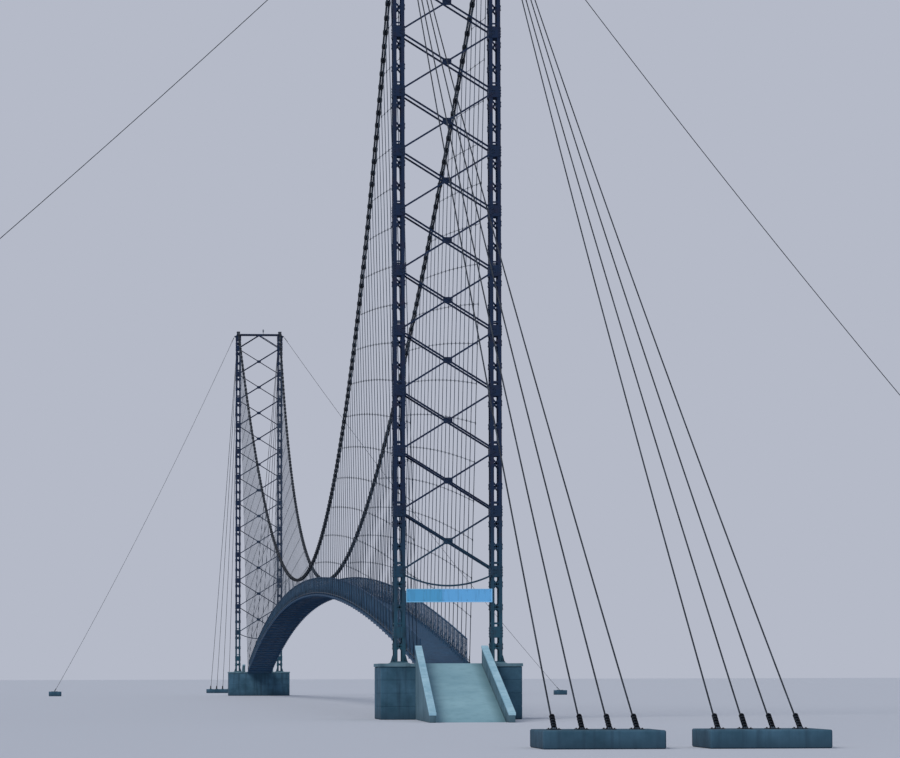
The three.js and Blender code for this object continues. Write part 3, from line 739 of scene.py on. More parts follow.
def makeBracedBay(outerSide, overBars):
    # only the outer side of a pylon has its diagonals crossed
    bm = bmesh.new()
    x, step, face = leg["x"], leg["nodeStep"], -brace["face"]
    addDiagonal(bm, (x, 0, 0), (-x, 0, -step), 0, False)
    if outerSide:
        addDiagonal(bm, (-x, 0, 0), (x, 0, -step), 1, True)
        (wide, tall), (front, back) = brace["crossPlate"], brace["crossSteel"]
        addBlock(bm, (-wide, face - front, -step / 2 - tall), (wide, face - back, -step / 2 + tall),
                 chamfer=brace["chamfer"])
        addBolts(bm, [(x, overBars, z - step / 2) for x, z in brace["crossBolts"]], -along,
                 brace["crossBolt"])
    return asPattern(bm, "braced bay")


def addArch(bm, inner):
    # the hanging bow of angle iron under the lowest bay
    face, count, lap = -brace["face"] - brace["archDeep"], brace["archSteps"], brace["archLap"]
    ends = nodeZ(leg["bracedNodes"]) - leg["plate"] / 2 + brace["archRise"]
    points = []
    for i in range(count + 1):
        t = -lap + (1 + 2 * lap) * i / count
        points.append(Vector((-inner + 2 * inner * t, face, ends - (ends - brace["dipZ"]) * bow(t))))
    addRun(bm, points, up * brace["width"], -along * brace["steel"])
    addRun(bm, points, up * brace["steel"], -along * brace["flange"])
    addBolts(bm, [(x * (inner + brace["reach"]), face - brace["steel"], ends + rise) for x in (-1, 1)
                  for rise in brace["archBolts"]], -along)


def makeBracing(outerSide):
    # drawn for the side that faces -Y
    bm = bmesh.new()
    outer, inner = leg["x"] + leg["width"] / 2, leg["x"] - leg["width"] / 2 - brace["reach"]
    overBars = -brace["face"] - brace["plate"] - 2 * brace["steel"]
    places = [moveTo(0, 0, nodeZ(node)) for node in range(1, leg["bracedNodes"] + 1)]
    stamp(bm, makeGusset(outer, inner, overBars), places + [place @ mirrorX for place in places])
    stamp(bm, makeBracedBay(outerSide, overBars), places[:-1])
    apex, half = brace["apexZ"], brace["apexHalf"]
    addGusset(bm, apex, -half, half, brace["apexTall"], brace["apexBolts"], brace["apexRows"])
    for x in (-1, 1):
        addDiagonal(bm, (0, 0, apex - brace["apexDrop"]), (x * leg["x"], 0, nodeZ(1)), int(x < 0), x < 0)
    if outerSide:
        addArch(bm, inner)
    return bm


finishPiece("{}_outer_bracing", makeBracing(True), pylonLook, bothEnds)
finishPiece("{}_inner_bracing", makeBracing(False), pylonLook,
            {key: place @ halfTurn for key, place in bothEnds.items()})
print("bracing made")

# Top beam: two channels with ties and crossed bars between them

beam = {"half": 1.84, "width": 0.08, "height": 0.14, "steel": 0.01, "ties": (-1.2, -0.4, 0.4, 1.2),
        "endBolts": (-1.76, -1.66, 1.66, 1.76), "boltRise": (0.045, 0.095), "tie": (0.015, 0.125),
        "tieHalf": (0.005, 0.035), "cross": (0.05, 0.008), "crossRise": (0.07, 0.079)}


def makeTopBeam():
    bm = bmesh.new()
    low, half, steel = leg["top"] + gap, beam["half"], beam["steel"]
    for y in (-1, 1):
        face = y * leg["depth"] / 2
        addBlock(bm, (-half, face, low), (half, face - y * steel, low + beam["height"]))
        for z in (low, low + beam["height"] - steel):
            addBlock(bm, (-half, face, z), (half, face - y * beam["width"], z + steel))
        addBolts(bm, [(x, face, low + rise) for x in (*beam["endBolts"], *beam["ties"])
                      for rise in beam["boltRise"]], along * y)
    inner, (start, end), (web, flange) = leg["depth"] / 2 - steel, beam["tie"], beam["tieHalf"]
    for x in beam["ties"]:
        addPad(bm, x, 0, (web, inner), low + start, low + end)
        for z in (start, end - steel):
            addPad(bm, x, 0, (flange, inner), low + z, low + z + steel)
    for x0, x1 in zip(beam["ties"], beam["ties"][1:]):
        for first, last, rise in zip((x0, x1), (x1, x0), beam["crossRise"]):
            addBar(bm, (first, -inner, low + rise), (last, inner, low + rise), *beam["cross"], up)
    return bm


finishPiece("{}_top_beam", makeTopBeam(), pylonLook, bothEnds)

# Saddles: cheeks with ribs on either side of the ropes' seat, under a hipped hood

saddle = {"half": 0.3, "cheekX": 0.107, "cheek": 0.03, "base": (0.19, 0.32), "baseThick": 0.03,
          "cheekZ": 35.345, "shoulderZ": 35.18, "shoulder": 0.06, "ribs": (-0.2, 0, 0.2), "ribFoot": 0.185,
          "ribRise": 0.02, "ribTop": 35.24, "ribLip": 0.012, "boltDrop": 0.04, "chamfer": 0.004,
          "cheekBolts": (-0.1, 0.1), "baseBolts": (-0.26, -0.1, 0.1, 0.26),
          "baseBoltX": 0.165, "hoodLip": 0.03, "hoodRim": 0.02, "hoodSlopes": ((0.03, 0.015), (0.08, 0.01)),
          "steps": 12, "seatX": 0.1}


def makeSaddle():
    bm = bmesh.new()
    low, half, side = leg["top"] + gap, saddle["half"], saddle["seatX"]
    outer, shoulder, top = saddle["cheekX"] + saddle["cheek"], saddle["shoulderZ"], saddle["cheekZ"]
    baseTop, ribLow = low + saddle["baseThick"], low + saddle["ribRise"]
    addPad(bm, 0, 0, saddle["base"], low, baseTop, chamfer=saddle["chamfer"])
    seat = [(-half, low), (half, low)]
    for i in range(saddle["steps"] + 1):
        y = half - 2 * half * i / saddle["steps"]
        lean = math.hypot(1, towerSlope * y / line["saddleReach"])
        seat.append((y, cableZ(abs(y)) - (bundle["z"] + bundle["radius"] + gap) * lean))
    addProfile(bm, sideOutline(-side, seat), across * 2 * side)
    inset = half - saddle["shoulder"]
    for x in (-1, 1):
        addProfile(bm, sideOutline(min(x * saddle["cheekX"], x * outer), (
            (-half, low), (half, low), (half, shoulder), (inset, top), (-inset, top), (-half, shoulder))),
            across * saddle["cheek"])
        for y in saddle["ribs"]:
            rib = [Vector((x * reach, y - foot["rib"] / 2, z)) for reach, z in (
                (outer, ribLow), (saddle["ribFoot"], ribLow), (outer + saddle["ribLip"], saddle["ribTop"]),
                (outer, saddle["ribTop"]))]
            addProfile(bm, rib, along * foot["rib"])
        addBolts(bm, [(x * outer, y, top - saddle["boltDrop"]) for y in saddle["cheekBolts"]], across * x)
        addBolts(bm, [(x * saddle["baseBoltX"], y, baseTop) for y in saddle["baseBolts"]], up)
    addHood(bm, outer + saddle["hoodLip"], half + saddle["hoodLip"])
    return bm


def addHood(bm, wide, long):
    # a low hipped cover of folded sheet over the ropes
    low = saddle["cheekZ"]
    verts = addBlock(bm, (-wide, -long, low), (wide, long, low + saddle["hoodRim"]))
    top = max({face for vert in verts for face in vert.link_faces}, key=lambda f: f.calc_center_median().z)
    for inset, rise in saddle["hoodSlopes"]:
        bmesh.ops.inset_region(bm, faces=[top], thickness=inset, depth=0)
        bmesh.ops.translate(bm, vec=up * rise, verts=top.verts)


finishPiece("{}_saddle", makeSaddle(), pylonLook, onLegs)

# Lamps, one on each top beam: turned outlines of stem, glass and cap, inside four guard rods

lamp = {"x": 0.4, "foot": 35.126, "segments": 16, "guard": 0.075, "guardRod": 0.004, "guards": (0.25, 0.45),
        "stem": ((0, 0), (0.055, 0), (0.055, 0.012), (0.02, 0.02), (0.018, 0.2), (0.045, 0.21), (0.06, 0.24),
                 (0.06, 0.26), (0, 0.26)),
        "glass": ((0, 0.262), (0.055, 0.262), (0.068, 0.3), (0.07, 0.36), (0.06, 0.42), (0.052, 0.438),
                  (0, 0.438)),
        "cap": ((0, 0.44), (0.068, 0.44), (0.068, 0.455), (0.035, 0.48), (0.012, 0.495), (0, 0.5))}


def makeLamp():
    bm = bmesh.new()
    for slot, key in ((0, "stem"), (2, "glass"), (0, "cap")):
        part = bmesh.new()
        verts = [part.verts.new((radius, 0, height)) for radius, height in lamp[key]]
        edges = [part.edges.new(pair) for pair in zip(verts, verts[1:])]
        bmesh.ops.spin(part, geom=verts + edges, cent=(0, 0, 0), axis=(0, 0, 1), dvec=(0, 0, 0),
                       angle=2 * math.pi, steps=lamp["segments"], use_merge=True, use_duplicate=False)
        bmesh.ops.remove_doubles(part, verts=part.verts, dist=1e-5)
        paintFaces(part.verts, slot)
        stamp(bm, asPattern(part, key), [moveTo(lamp["x"], 0, lamp["foot"])])
    for i in range(4):
        turn = math.pi / 4 + i * math.pi / 2
        x, y = lamp["x"] + lamp["guard"] * math.cos(turn), lamp["guard"] * math.sin(turn)
        low, high = (lamp["foot"] + height for height in lamp["guards"])
        addRod(bm, (x, y, low), (x, y, high), lamp["guardRod"], 4, 1)
    return bm


finishPiece("{}_lamp", makeLamp(), [*pylonLook, lampGlass],
            {"near": still, "far": moveTo(0, span, 0)})
print("beams, saddles and lamps made")

# Foundations: a block poured in lifts, with a top slab and plinths under the legs

block = {"halfX": 2.95, "halfY": 1.9, "top": 2.3, "lifts": (0.54, 1.08, 1.62), "groove": 0.014,
         "chamfer": 0.03, "plinth": (0.35, 0.58), "plinthTall": 0.05, "plinthFoot": 0.05,
         "seat": (1.143, 1.647, 2.177), "slab": 0.13, "slabLip": 0.035, "slabBevel": 0.015,
         "plinthChamfer": 0.01}


def scoreAcross(bm, cutPlanes, groove):
    # a shallow groove round the block at each pour line
    for at in cutPlanes:
        bmesh.ops.bisect_plane(bm, geom=bm.verts[:] + bm.edges[:] + bm.faces[:], dist=1e-6,
                               plane_co=(0, 0, at), plane_no=(0, 0, 1))
    for at in cutPlanes:
        bevelEdges(bm, [edge for edge in bm.edges if all(abs(vert.co.z - at) < 1e-4 for vert in edge.verts)],
                   groove, 2)
        for vert in bm.verts:
            if abs(vert.co.z - at) < 1e-4:
                vert.co.x -= math.copysign(groove, vert.co.x)
                vert.co.y -= math.copysign(groove, vert.co.y)


def addSlab(bm):
    # the top slab, paler than the block, whose concrete carries a deeper painted shade: a bevelled outline
    # with a notch where the deck's end rests
    x, y, top = block["halfX"], block["halfY"], block["top"]
    wide, start, floorZ = block["seat"]
    notched = [Vector((px, py, floorZ)) for px, py in (
        (-x, -y), (x, -y), (x, y), (wide, y), (wide, start), (-wide, start), (-wide, y), (-x, y))]
    verts = addProfile(bm, notched, up * (top - floorZ), 1)
    bevelEdges(bm, [edge for edge in {edge for vert in verts for edge in vert.link_edges}
                    if all(vert.co.z > top - 1e-4 for vert in edge.verts)], block["slabBevel"], 2)
    addPad(bm, 0, 0, (x, y), top - block["slab"], floorZ, 1)


def makeFoundation():
    bm = bmesh.new()
    lip, (wide, deep), tall, top = block["slabLip"], block["plinth"], block["plinthTall"], block["top"]
    addPad(bm, 0, 0, (block["halfX"] - lip, block["halfY"] - lip), 0, top - block["slab"],
           chamfer=block["chamfer"])
    scoreAcross(bm, block["lifts"], block["groove"])
    addSlab(bm)
    for x in (-leg["x"], leg["x"]):
        for grow, low, high in ((block["plinthFoot"], -tall, tall * 0.5), (0, 0, tall)):
            addPad(bm, x, 0, (wide + grow, deep + grow), top + low, top + high, 1, block["plinthChamfer"])
    return bm


# the block's faces are painted in deep shade, and the slab and plinths in the paler painted half shade
finishPiece("{}_foundation", makeFoundation(), [concreteInDeepShade, concreteInHalfShade], bothEnds)

# Ramps, scored across, and their parapets

ramp = {"halfX": 1.22, "length": 9.9, "toe": 0.03, "grooves": 24, "groove": 0.005, "grooveWide": 0.05,
        "wall": 0.28, "wallLength": 11.0, "wallTop": 3.03, "wallLow": 0.38, "coping": 0.11, "splay": 0.32,
        "copingLip": 0.02, "bevel": 0.015, "bays": 5, "pilasterInset": 0.012, "pilasterHalf": 0.06,
        "pilasterDrop": 0.01, "chamfer": 0.006}


def splayLeft(bm):
    # the left parapet and the ramp's left edge run out from the axis towards the foot
    for vert in bm.verts:
        if vert.co.x < 0:
            vert.co.x += ramp["splay"] * (vert.co.y + block["halfY"] + gap) / ramp["wallLength"]
    return bm


def makeRamp():
    bm = bmesh.new()
    end, half = -block["halfY"] - gap, ramp["grooveWide"] / 2
    start = end - ramp["length"]
    surface = [(start, 0)]
    for i in range(1, ramp["grooves"]):
        y = start + ramp["length"] * i / ramp["grooves"]
        surface += [(y - half, 0), (y, ramp["groove"]), (y + half, 0)]
    slope = (block["top"] - ramp["toe"]) / ramp["length"]
    outline = [(y, ramp["toe"] + slope * (y - start) - deep) for y, deep in surface]
    outline = [(end, 0), (start, 0), *outline, (end, block["top"])]
    addProfile(bm, sideOutline(-ramp["halfX"], outline), across * 2 * ramp["halfX"])
    return splayLeft(bm)


def makeParapet():
    # drawn on the left side: a wall under a wider coping
    bm = bmesh.new()
    end, lip, inset = -block["halfY"] - gap, ramp["copingLip"], ramp["pilasterInset"]
    start, outer = end - ramp["wallLength"], -ramp["halfX"] - gap - ramp["wall"]
    low, high, under = ramp["wallLow"], ramp["wallTop"], ramp["coping"]
    wall = addProfile(bm, sideOutline(outer + lip, (
        (start + lip, 0), (end, 0), (end, high - under), (start + lip, low - under))),
        across * (ramp["wall"] - 2 * lip))
    coping = addProfile(bm, sideOutline(outer, (
        (start, low - under), (end, high - under), (end, high), (start, low))), across * ramp["wall"], 1)
    bevelEdges(bm, {edge for vert in wall + coping for edge in vert.link_edges}, ramp["bevel"], 2)
    slope = (high - low) / ramp["wallLength"]
    for i in range(1, ramp["bays"]):  # pilasters at the pour joints, a little proud of both faces
        y, half = start + ramp["wallLength"] * i / ramp["bays"], ramp["pilasterHalf"]
        top = low + slope * (y - start) - under - ramp["pilasterDrop"]
        addBlock(bm, (outer + inset, y - half, 0), (outer + ramp["wall"] - inset, y + half, top),
                 chamfer=ramp["chamfer"])
    return bm


finishPiece("{}_ramp", makeRamp(), [rampConcrete], bothEnds)
# the coping carries painted light and the wall painted shade: lit and shaded copies of one concrete
parapetLook = [concreteInHalfShade, copingConcreteLit]
finishPiece("{}_parapet", makeParapet(), parapetLook,
            {key: fourCorners[key] for key in ("near_right", "far_left")})
finishPiece("{}_parapet", splayLeft(makeParapet()), parapetLook,
            {key: fourCorners[key] for key in ("near_left", "far_right")})
print("concrete made")

# Sign board: two sheets on flat straps, with a rolled rim; short laps hold its left end to the leg

sign = {"left": -1.75, "seam": -0.26, "right": 1.835, "bottom": 4.83, "top": 5.39, "face": 0.433,
        "deep": 0.03, "rim": 0.035, "straps": (-1.73, -1.02, -0.28, 0.75, 1.78), "strap": 0.04,
        "strapDeep": 0.012, "sheet": (0.014, 0.02), "inset": 0.01, "lapZ": (4.92, 5.26), "lapTall": 0.05,
        "lap": (0.01, 0.06), "joint": 0.004, "strapInset": 0.02, "boltIn": (0.08, 0.09), "bolt": 0.022,
        "chamfer": 0.003}


def makeSign():
    bm = bmesh.new()
    face, rim, inset = -sign["face"], sign["rim"], sign["inset"]
    back, front = face - sign["strapDeep"], face - sign["deep"]
    low, high, left, seam, right = (sign[key] for key in ("bottom", "top", "left", "seam", "right"))
    sheetBack, sheetFront = (face - depth for depth in sign["sheet"])
    boltX, boltZ = sign["boltIn"]
    for x0, x1 in ((left + inset, seam - sign["joint"]), (seam + sign["joint"], right - inset)):
        addBlock(bm, (x0, sheetFront, low + inset), (x1, sheetBack, high - inset), 2)
        addBolts(bm, [(x, sheetFront, z) for x in (x0 + boltX, (x0 + x1) / 2, x1 - boltX)
                      for z in (low + boltZ, high - boltZ)], -along, sign["bolt"])
    ends, (onLeg, onSheet) = sign["strapInset"], sign["lap"]
    for x in sign["straps"]:
        addBlock(bm, (x, back, low + ends), (x + sign["strap"], face, high - ends))
    for z in sign["lapZ"]:
        addBlock(bm, (-leg["x"] + leg["width"] / 2 - onLeg, back, z),
                 (left + onSheet, face, z + sign["lapTall"]))
    # slot 3: the rims all round, in enamel made paler as a painted highlight
    for z0, z1 in ((low, low + rim), (high - rim, high)):
        addBlock(bm, (left, front, z0), (right, back, z1), 3, sign["chamfer"])
    for x0, x1 in ((left, left + rim), (right - rim, right)):
        addBlock(bm, (x0, front, low + rim), (x1, back, high - rim), 3)
    return bm


finishPiece("sign_board", makeSign(), [*pylonLook, signEnamel, rimEnamelHighlight], once)

# Deck: planks on floor beams, between channel stringers, with runners and wind ties below

deckEnds = (line["blockHalf"], span - line["blockHalf"])
hangerSpaces, firstHanger = 102, 2
hangerPitch = (span - 2 * firstHanger) / hangerSpaces
hangerRows = [firstHanger + hangerPitch * i for i in range(hangerSpaces + 1)]
deck = {"half": 1.06, "plank": 0.25, "plankGap": 0.012, "plankThick": 0.03, "stringer": (0.08, 0.12),
        "beam": (0.06, 0.1), "beamHalf": 1.17, "steel": 0.01, "eye": (0.035, 0.006), "eyeTop": 0.045,
        "runner": (0.45, 0.03, 0.028), "ledge": 0.23, "windStart": 3.0, "windStep": 4, "windHalf": 1.0,
        "windDrop": 0.13, "windApart": 0.02, "rod": 0.012, "plankInset": 0.005}


def alongDeck(step):
    # stations that follow the camber between the two foundations
    return [deckEnds[0], *(float(y) for y in range(3, int(span) - 2, step)), deckEnds[1]]


def deckLine(rows, x, rise):
    return [Vector((x, y, deckZ(y) + rise)) for y in rows]


def makePlank():
    bm = bmesh.new()
    half = (deck["half"] - deck["plankInset"], (deck["plank"] - deck["plankGap"]) / 2)
    addPad(bm, 0, 0, half, -deck["plankThick"], 0)
    return asPattern(bm, "plank")


def makeFloorBeam():
    # a channel on its side under the planks, with an eye plate outside each stringer
    bm = bmesh.new()
    wide, tall = deck["beam"]
    half, steel, top, end = wide / 2, deck["steel"], -2 * deck["plankThick"], deck["beamHalf"]
    addProfile(bm, sideOutline(-end, (
        (-half, top), (half, top), (half, top - steel), (steel - half, top - steel),
        (steel - half, top - tall + steel), (half, top - tall + steel), (half, top - tall),
        (-half, top - tall))), across * 2 * end)
    for x in (-line["hangerFootX"], line["hangerFootX"]):
        addPad(bm, x, 0, deck["eye"], top - steel, deck["eyeTop"])
    return asPattern(bm, "floor beam")


def makeDeck():
    bm = bmesh.new()
    start, end = deckEnds[0] - deck["ledge"], deckEnds[1] + deck["ledge"]
    plankRows = [start + deck["plank"] * (i + 0.5) for i in range(int((end - start) / deck["plank"]))]
    stamp(bm, makePlank(), [moveTo(0, y, deckZ(y)) @ tilt(deckZ, y, 0.05) for y in plankRows])
    stamp(bm, makeFloorBeam(), [moveTo(0, y, deckZ(y)) for y in hangerRows])
    stations = [start, *alongDeck(2), end]
    wide, tall = deck["stringer"]
    steel, (runnerX, runnerHalf, runnerTall) = deck["steel"], deck["runner"]
    for x in (-1, 1):
        outer = x * (deck["half"] + wide)
        addRun(bm, deckLine(stations, outer, -tall), up * tall, -across * x * steel)
        for z in (-tall, -steel):
            addRun(bm, deckLine(stations, outer, z), up * steel, -across * x * wide)
        runner = deckLine(stations, x * runnerX - runnerHalf, 0.001 - 2 * deck["plankThick"])
        addRun(bm, runner, up * runnerTall, across * 2 * runnerHalf)
    ties, step, begin = [], deck["windStep"], deck["windStart"]
    for i in range(int((span - 2 * begin) / step)):
        first, last = begin + step * i, begin + step * (i + 1)
        for x in (-1, 1):
            drop, half = -deck["windDrop"] - deck["windApart"] * x, x * deck["windHalf"]
            ties.append([*deckLine([first], half, drop), *deckLine([last], -half, drop)])
    addWires(bm, ties, deck["rod"], 1)
    return bm


finishPiece("deck", makeDeck(), [deckPaint, boltSteel], once)

railing = {"x": 0.98, "height": 1.05, "lowRail": 0.1, "bar": 0.05, "postStep": 2, "post": 0.02,
           "foot": (0.05, 0.015), "brace": (0.14, 0.55, 0.02), "mesh": 0.1, "wire": 0.0022,
           "meshLow": 0.08, "meshHigh": 1.02, "midRails": (0.42, 0.74), "midRod": 0.008,
           "braceIn": 0.01, "braceBar": (0.03, 0.008)}


def makePost(x):
    # a square post on a foot plate, with a brace to the deck's edge
    bm = bmesh.new()
    half, (plate, thick), (out, high, low) = railing["post"], railing["foot"], railing["brace"]
    addPad(bm, x, 0, (half, half), gap, railing["height"] - railing["bar"] / 2)
    addPad(bm, x, 0, (plate, plate), gap, thick)
    addBar(bm, (x + railing["braceIn"], 0, high), (x + out, 0, low), *railing["braceBar"], along)
    return asPattern(bm, "post")


def makeRailing():
    # drawn on the left side
    bm = bmesh.new()
    x, bar = -railing["x"], railing["bar"]
    start, end = deckEnds
    for top in (railing["height"], railing["lowRail"]):
        addRun(bm, deckLine(alongDeck(2), x - bar / 2, top - bar), up * bar, across * bar)
    middle = (float(y) for y in range(4, int(span) - 2, railing["postStep"]))
    stamp(bm, makePost(x), [moveTo(0, y, deckZ(y)) for y in (start + bar / 2, *middle, end - bar / 2)])
    low, high, side = railing["meshLow"], railing["meshHigh"], 2 * railing["wire"]
    tall, wires = high - low, []
    for i in range(int((end - start - tall) / railing["mesh"]) + 1):
        y = start + railing["mesh"] * i
        for shift, first, last in ((-side, low, high), (side, high, low)):
            wires.append([*deckLine([y], x + shift, first), *deckLine([y + tall], x + shift, last)])
    addWires(bm, wires, railing["wire"], 1)
    addWires(bm, [deckLine(alongDeck(1), x, height) for height in railing["midRails"]], railing["midRod"])
    return bm


finishPiece("{}_railing", makeRailing(), [deckPaint, meshCoat],
            {"left": still, "right": mirrorX})
print("deck and railings made")

# Main cables: four ropes side by side in two layers, with two clamps a hanger

clamp = {"halfX": 0.103, "halfZ": 0.09, "long": 0.2, "split": 0.004, "chamfer": 0.012, "ear": 0.01,
         "bolt": 0.008, "lug": (0.008, 0.03), "lugFoot": 0.13}
clampRows = [hangerRows[0] + hangerPitch / 2 * i for i in range(-1, 2 * hangerSpaces + 2)]
drawnRight = {"right": still, "left": mirrorX}


def cableStations():
    bend = [share * line["saddleReach"] for share in (-1, -0.9, -0.45, 0, 0.45, 1)]
    return [*bend, *clampRows, *(span - y for y in reversed(bend))]


def makeClamp():
    # two cast halves bolted together round the four ropes, with a lug for the hanger
    bm = bmesh.new()
    x, z, half, ear = clamp["halfX"], clamp["halfZ"], clamp["long"] / 2, clamp["ear"]
    for low, high in ((-z, -clamp["split"]), (clamp["split"], z)):
        addPad(bm, 0, 0, (x, half), low, high, 1, clamp["chamfer"])
    for side in (-1, 1):
        addBlock(bm, (side * x, -half, -z / 2), (side * (x + ear), half, z / 2), 1)
        bolt = Vector((side * (x + ear / 2), 0, 0.8 * z))
        addRod(bm, bolt - up * 1.6 * z, bolt, clamp["bolt"], 6, 2)
    addPad(bm, 0, 0, clamp["lug"], -clamp["lugFoot"], 0.01 - z, 1)
    return asPattern(bm, "cable clamp")


def makeMainCable():
    # drawn on the right side
    bm = bmesh.new()
    stations = cableStations()
    for x in (-bundle["x"], bundle["x"]):
        for z in (-bundle["z"], bundle["z"]):
            points = [Vector((cableX(y) + x, y, cableZ(y) + z)) for y in stations]
            addWires(bm, [points], bundle["radius"], 0, 1)
    stamp(bm, makeClamp(), [moveTo(cableX(y), y, cableZ(y)) @ tilt(cableZ, y, 0.1) for y in clampRows])
    return bm


ropeLook = [ropeSteel, clampIron, boltSteel]
finishPiece("{}_main_cable", makeMainCable(), ropeLook, drawnRight)

# Hanger nets: a hanger a row, a rope at the foot, and level ties with a clip at each crossing

net = {"hanger": 0.016, "tie": 0.012, "firstTie": 1.97, "tieStep": 1.6, "stepGrowth": 0.0066, "ties": 18,
       "headroom": 0.35, "hangerTop": 0.1, "knot": 0.026, "knotLong": 0.11, "sleeve": (0.024, 0.03, 0.3),
       "footRope": 0.02, "footHeight": 0.1, "hangerFoot": 0.005}


def makeNet():
    # drawn on the right side
    bm = bmesh.new()
    hangers = [[netPoint(y, net["hangerFoot"]), netPoint(y, cableZ(y) - deckZ(y) - net["hangerTop"])]
               for y in hangerRows]
    addWires(bm, hangers, net["hanger"])
    addWires(bm, [[netPoint(y, net["footHeight"]) for y in hangerRows]], net["footRope"])
    runs = []
    for k in range(net["ties"]):
        height = net["firstTie"] + net["tieStep"] * k + net["stepGrowth"] * k * k
        reached = [y for y in hangerRows if cableZ(y) - deckZ(y) > height + net["headroom"]]
        for half in ([y for y in reached if y < span / 2], [y for y in reached if y > span / 2]):
            if len(half) > 1:
                runs.append([netPoint(y, height) for y in half])
    addWires(bm, runs, net["tie"])
    knot, sleeve = bmesh.new(), bmesh.new()
    half = up * net["knotLong"] / 2
    addRod(knot, -half, half, net["knot"], 5, 1)
    stamp(bm, asPattern(knot, "knot"), [Matrix.Translation(point) for run in runs for point in run])
    radius, low, high = net["sleeve"]
    addRod(sleeve, up * low, up * high, radius, 6, 1)
    stamp(bm, asPattern(sleeve, "turnbuckle"), [Matrix.Translation(netPoint(y, 0)) for y in hangerRows])
    return bm


finishPiece("{}_hanger_net", makeNet(), [netWire, knotWire], drawnRight)
print("cables and hanger nets made")

# Backstays, guys and their anchors. A rope ends some way above the ground, where its anchor's piece
# takes over: the rope doubled back round an eye, on an anchor rod

stay = {"distance": 66.2, "fan": (-1.035, -0.345, 0.345, 1.035), "radius": 0.023, "sag": 0.55,
        "spread": 0.045, "steps": 24, "bandLong": 0.3, "bands": (0.05, 0.15, 0.25),
        "band": (0.06, 0.16, 0.18), "ropeEnd": 0.85, "rootZ": 0.3, "lug": 0.012, "lugShare": 0.4}
anchor = {"half": 0.6, "top": 0.45, "margin": 0.45, "behind": 1.0, "ahead": 2.0, "plate": (0.15, 0.3),
          "plateDeep": 0.02, "plateTop": 0.018, "boltInset": 0.05, "bolt": 0.04, "chamfer": 0.03,
          "plateChamfer": 0.004}
# the widths are shares of the rope's radius
clip = {"first": 0.09, "step": 0.145, "long": 0.05, "endRoom": 0.05, "eye": 0.78, "eyeReach": (0.02, 0.07),
        "rod": 0.022, "rodReach": 0.15, "nut": 0.05, "nutReach": (0.06, 0.1), "tailBack": 0.06,
        "tailWide": 2.1, "clipWide": 3.1, "eyeWide": 2.6, "topWide": 2.5, "start": 0.002}
guy = {"radius": 0.0175, "sag": 0.92, "topZ": 34.93, "startX": 2.3955, "steps": 24,
       "clips": (0.22, 0.34, 0.46, 0.58),
       "reach": {"near_left": 40.4, "near_right": 29.0, "far_left": 17.9, "far_right": 27.7}}


def hangingPoint(start, end, sag, t):
    return start.lerp(end, t) - up * sag * bow(t)


def atHeight(start, height):
    # how far along a stay that starts at `start` and ends on the ground
    return 1 - height / start.z


def addRope(bm, start, end, sag, radius, steps, lead=()):
    # from its top to where the anchor's piece takes over; `lead` comes before the top
    stop = atHeight(start, stay["ropeEnd"])
    points = [*lead, *(hangingPoint(start, end, sag, stop * k / steps) for k in range(steps + 1))]
    addWires(bm, [points], radius, 0, 1)
    return points


def addRopeEnd(bm, start, end, sag, radius):
    # the rope's end, doubled back and held by a row of clips, and the anchor rod that it hangs on
    a, b = (hangingPoint(start, end, sag, atHeight(start, stay[key])) for key in ("ropeEnd", "rootZ"))
    ahead = (b - a).normalized()
    eye = a.lerp(b, clip["eye"])
    side = along if abs(ahead.x) > 0.5 else (across - ahead * across.dot(ahead)).normalized()
    doubled, half = side * clip["tailWide"] * radius, ahead * clip["long"] / 2
    addWires(bm, [[a + ahead * clip["start"], eye]], radius, 1, 1)
    addWires(bm, [[a + doubled + ahead * clip["tailBack"], eye + doubled]], radius, 1, 1)
    for i in range(max(3, int(((eye - a).length - clip["endRoom"]) / clip["step"]))):
        at = a + ahead * (clip["first"] + clip["step"] * i) + side * radius
        addRod(bm, at - half, at + half, clip["clipWide"] * radius, 8, 2)
    (back, on), (nutBack, nutOn) = clip["eyeReach"], clip["nutReach"]
    addRod(bm, eye - ahead * back, eye + ahead * on, clip["eyeWide"] * radius, 8, 2)
    addRod(bm, eye, b + ahead * clip["rodReach"], clip["rod"], 8, 2)
    addRod(bm, b - ahead * nutBack, b + ahead * nutOn, clip["nut"], 6, 2)


def addAnchorPlate(bm, start, end, sag, halfSizes):
    # the bolted steel plate that an anchor rod comes up through
    x, y, _ = hangingPoint(start, end, sag, atHeight(start, anchor["top"]))
    low, high = anchor["top"] - anchor["plateDeep"], anchor["top"] + anchor["plateTop"]
    addPad(bm, x, y, halfSizes, low, high, 2, anchor["plateChamfer"])
    inX, inY = (half - anchor["boltInset"] for half in halfSizes)
    addBolts(bm, [(x + dx, y + dy, high) for dx in (-inX, inX) for dy in (-inY, inY)], up, anchor["bolt"], 2)


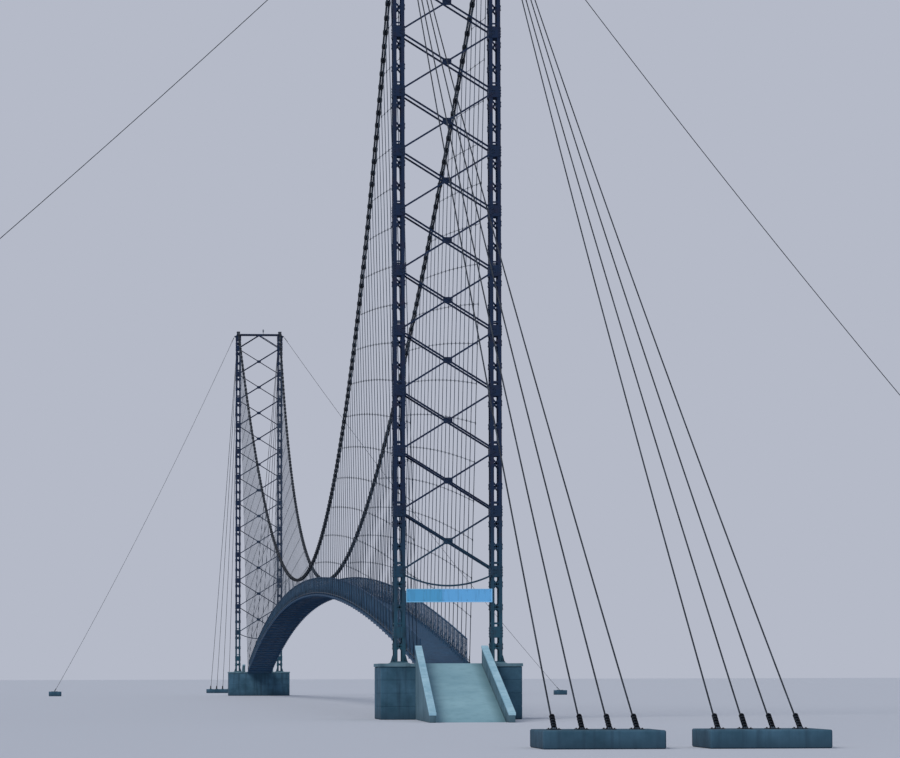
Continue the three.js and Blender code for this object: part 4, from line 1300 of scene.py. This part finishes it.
def makeBackstays(side):
    # four ropes that spread from the bands below the saddle to one block
    ropes, ends = bmesh.new(), bmesh.new()
    base = Vector((side * leg["x"], -stay["distance"], 0))
    top = Vector((side * leg["x"], -line["saddleReach"], cableZ(-line["saddleReach"])))
    down = (base - top).normalized()
    long, tall, wide = stay["band"]
    for reach in stay["bands"]:
        at = top + down * reach
        addBar(ropes, at, at + down * long, tall, wide, across, 1)
        for x in (-1, 1):
            lug = at + down * long / 2 + across * x * (wide / 2 + stay["lug"])
            tip = down.cross(across) * tall * stay["lugShare"]
            addRod(ropes, lug - tip, lug + tip, stay["lug"], 6, 2)
    for i, reach in enumerate(stay["fan"]):
        x, z = math.copysign(1, reach), 1 if i % 2 else -1
        start = top + down * stay["bandLong"] / 2 + (across * x + up * z) * stay["spread"]
        end = base + across * reach
        lead = top + down * gap + across * x * bundle["x"] + up * z * bundle["z"]
        addRope(ropes, start, end, stay["sag"], stay["radius"], stay["steps"], [lead])
        addRopeEnd(ends, start, end, stay["sag"], stay["radius"])
        addAnchorPlate(ends, start, end, stay["sag"], anchor["plate"])
    half = stay["fan"][-1] + anchor["margin"]
    addBlock(ends, (base.x - half, base.y - anchor["behind"], 0),
             (base.x + half, base.y + anchor["ahead"], anchor["top"]), chamfer=anchor["chamfer"])
    return ropes, ends


def makeGuy(side, reach):
    ropes, ends = bmesh.new(), bmesh.new()
    start = Vector((side * guy["startX"], 0, guy["topZ"]))
    end = Vector((side * (leg["x"] + reach), 0, 0))
    points = addRope(ropes, start, end, guy["sag"], guy["radius"], guy["steps"])
    ahead = (points[1] - points[0]).normalized()
    for distance in guy["clips"]:
        at, long = start + ahead * distance, ahead * clip["long"] / 2
        addRod(ropes, at - long, at + long, clip["topWide"] * guy["radius"], 8, 1)
    addRopeEnd(ends, start, end, guy["sag"], guy["radius"])
    half = anchor["half"]
    addPad(ends, end.x - side * half / 2, 0, (half, half), 0, anchor["top"], chamfer=anchor["chamfer"])
    addAnchorPlate(ends, start, end, guy["sag"], anchor["plate"][::-1])
    return ropes, ends


# the anchor blocks take the foundation's concrete, darkened as painted shade
anchorLook = [concreteInDeepShade, netWire, clampIron]
for end, place in bothEnds.items():
    for side in (-1, 1):
        left = side < 0 if end == "near" else side > 0
        corner = f"{end}_{'left' if left else 'right'}"
        for kind, (ropes, ends) in (("backstay", makeBackstays(side)),
                                    ("guy", makeGuy(side, guy["reach"][corner]))):
            ropeName = "{}_backstays" if kind == "backstay" else "{}_guy"
            finishPiece(ropeName, ropes, ropeLook, {corner: place})
            finishPiece("{}_" + kind + "_anchor", ends, anchorLook, {corner: place})
print("stays, guys and anchors made")

sizes = {piece.name: sum(len(face.vertices) - 2 for face in piece.data.polygons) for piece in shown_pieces()}
print("triangles:", sum(sizes.values()), "largest:", max(sizes, key=sizes.get), max(sizes.values()))
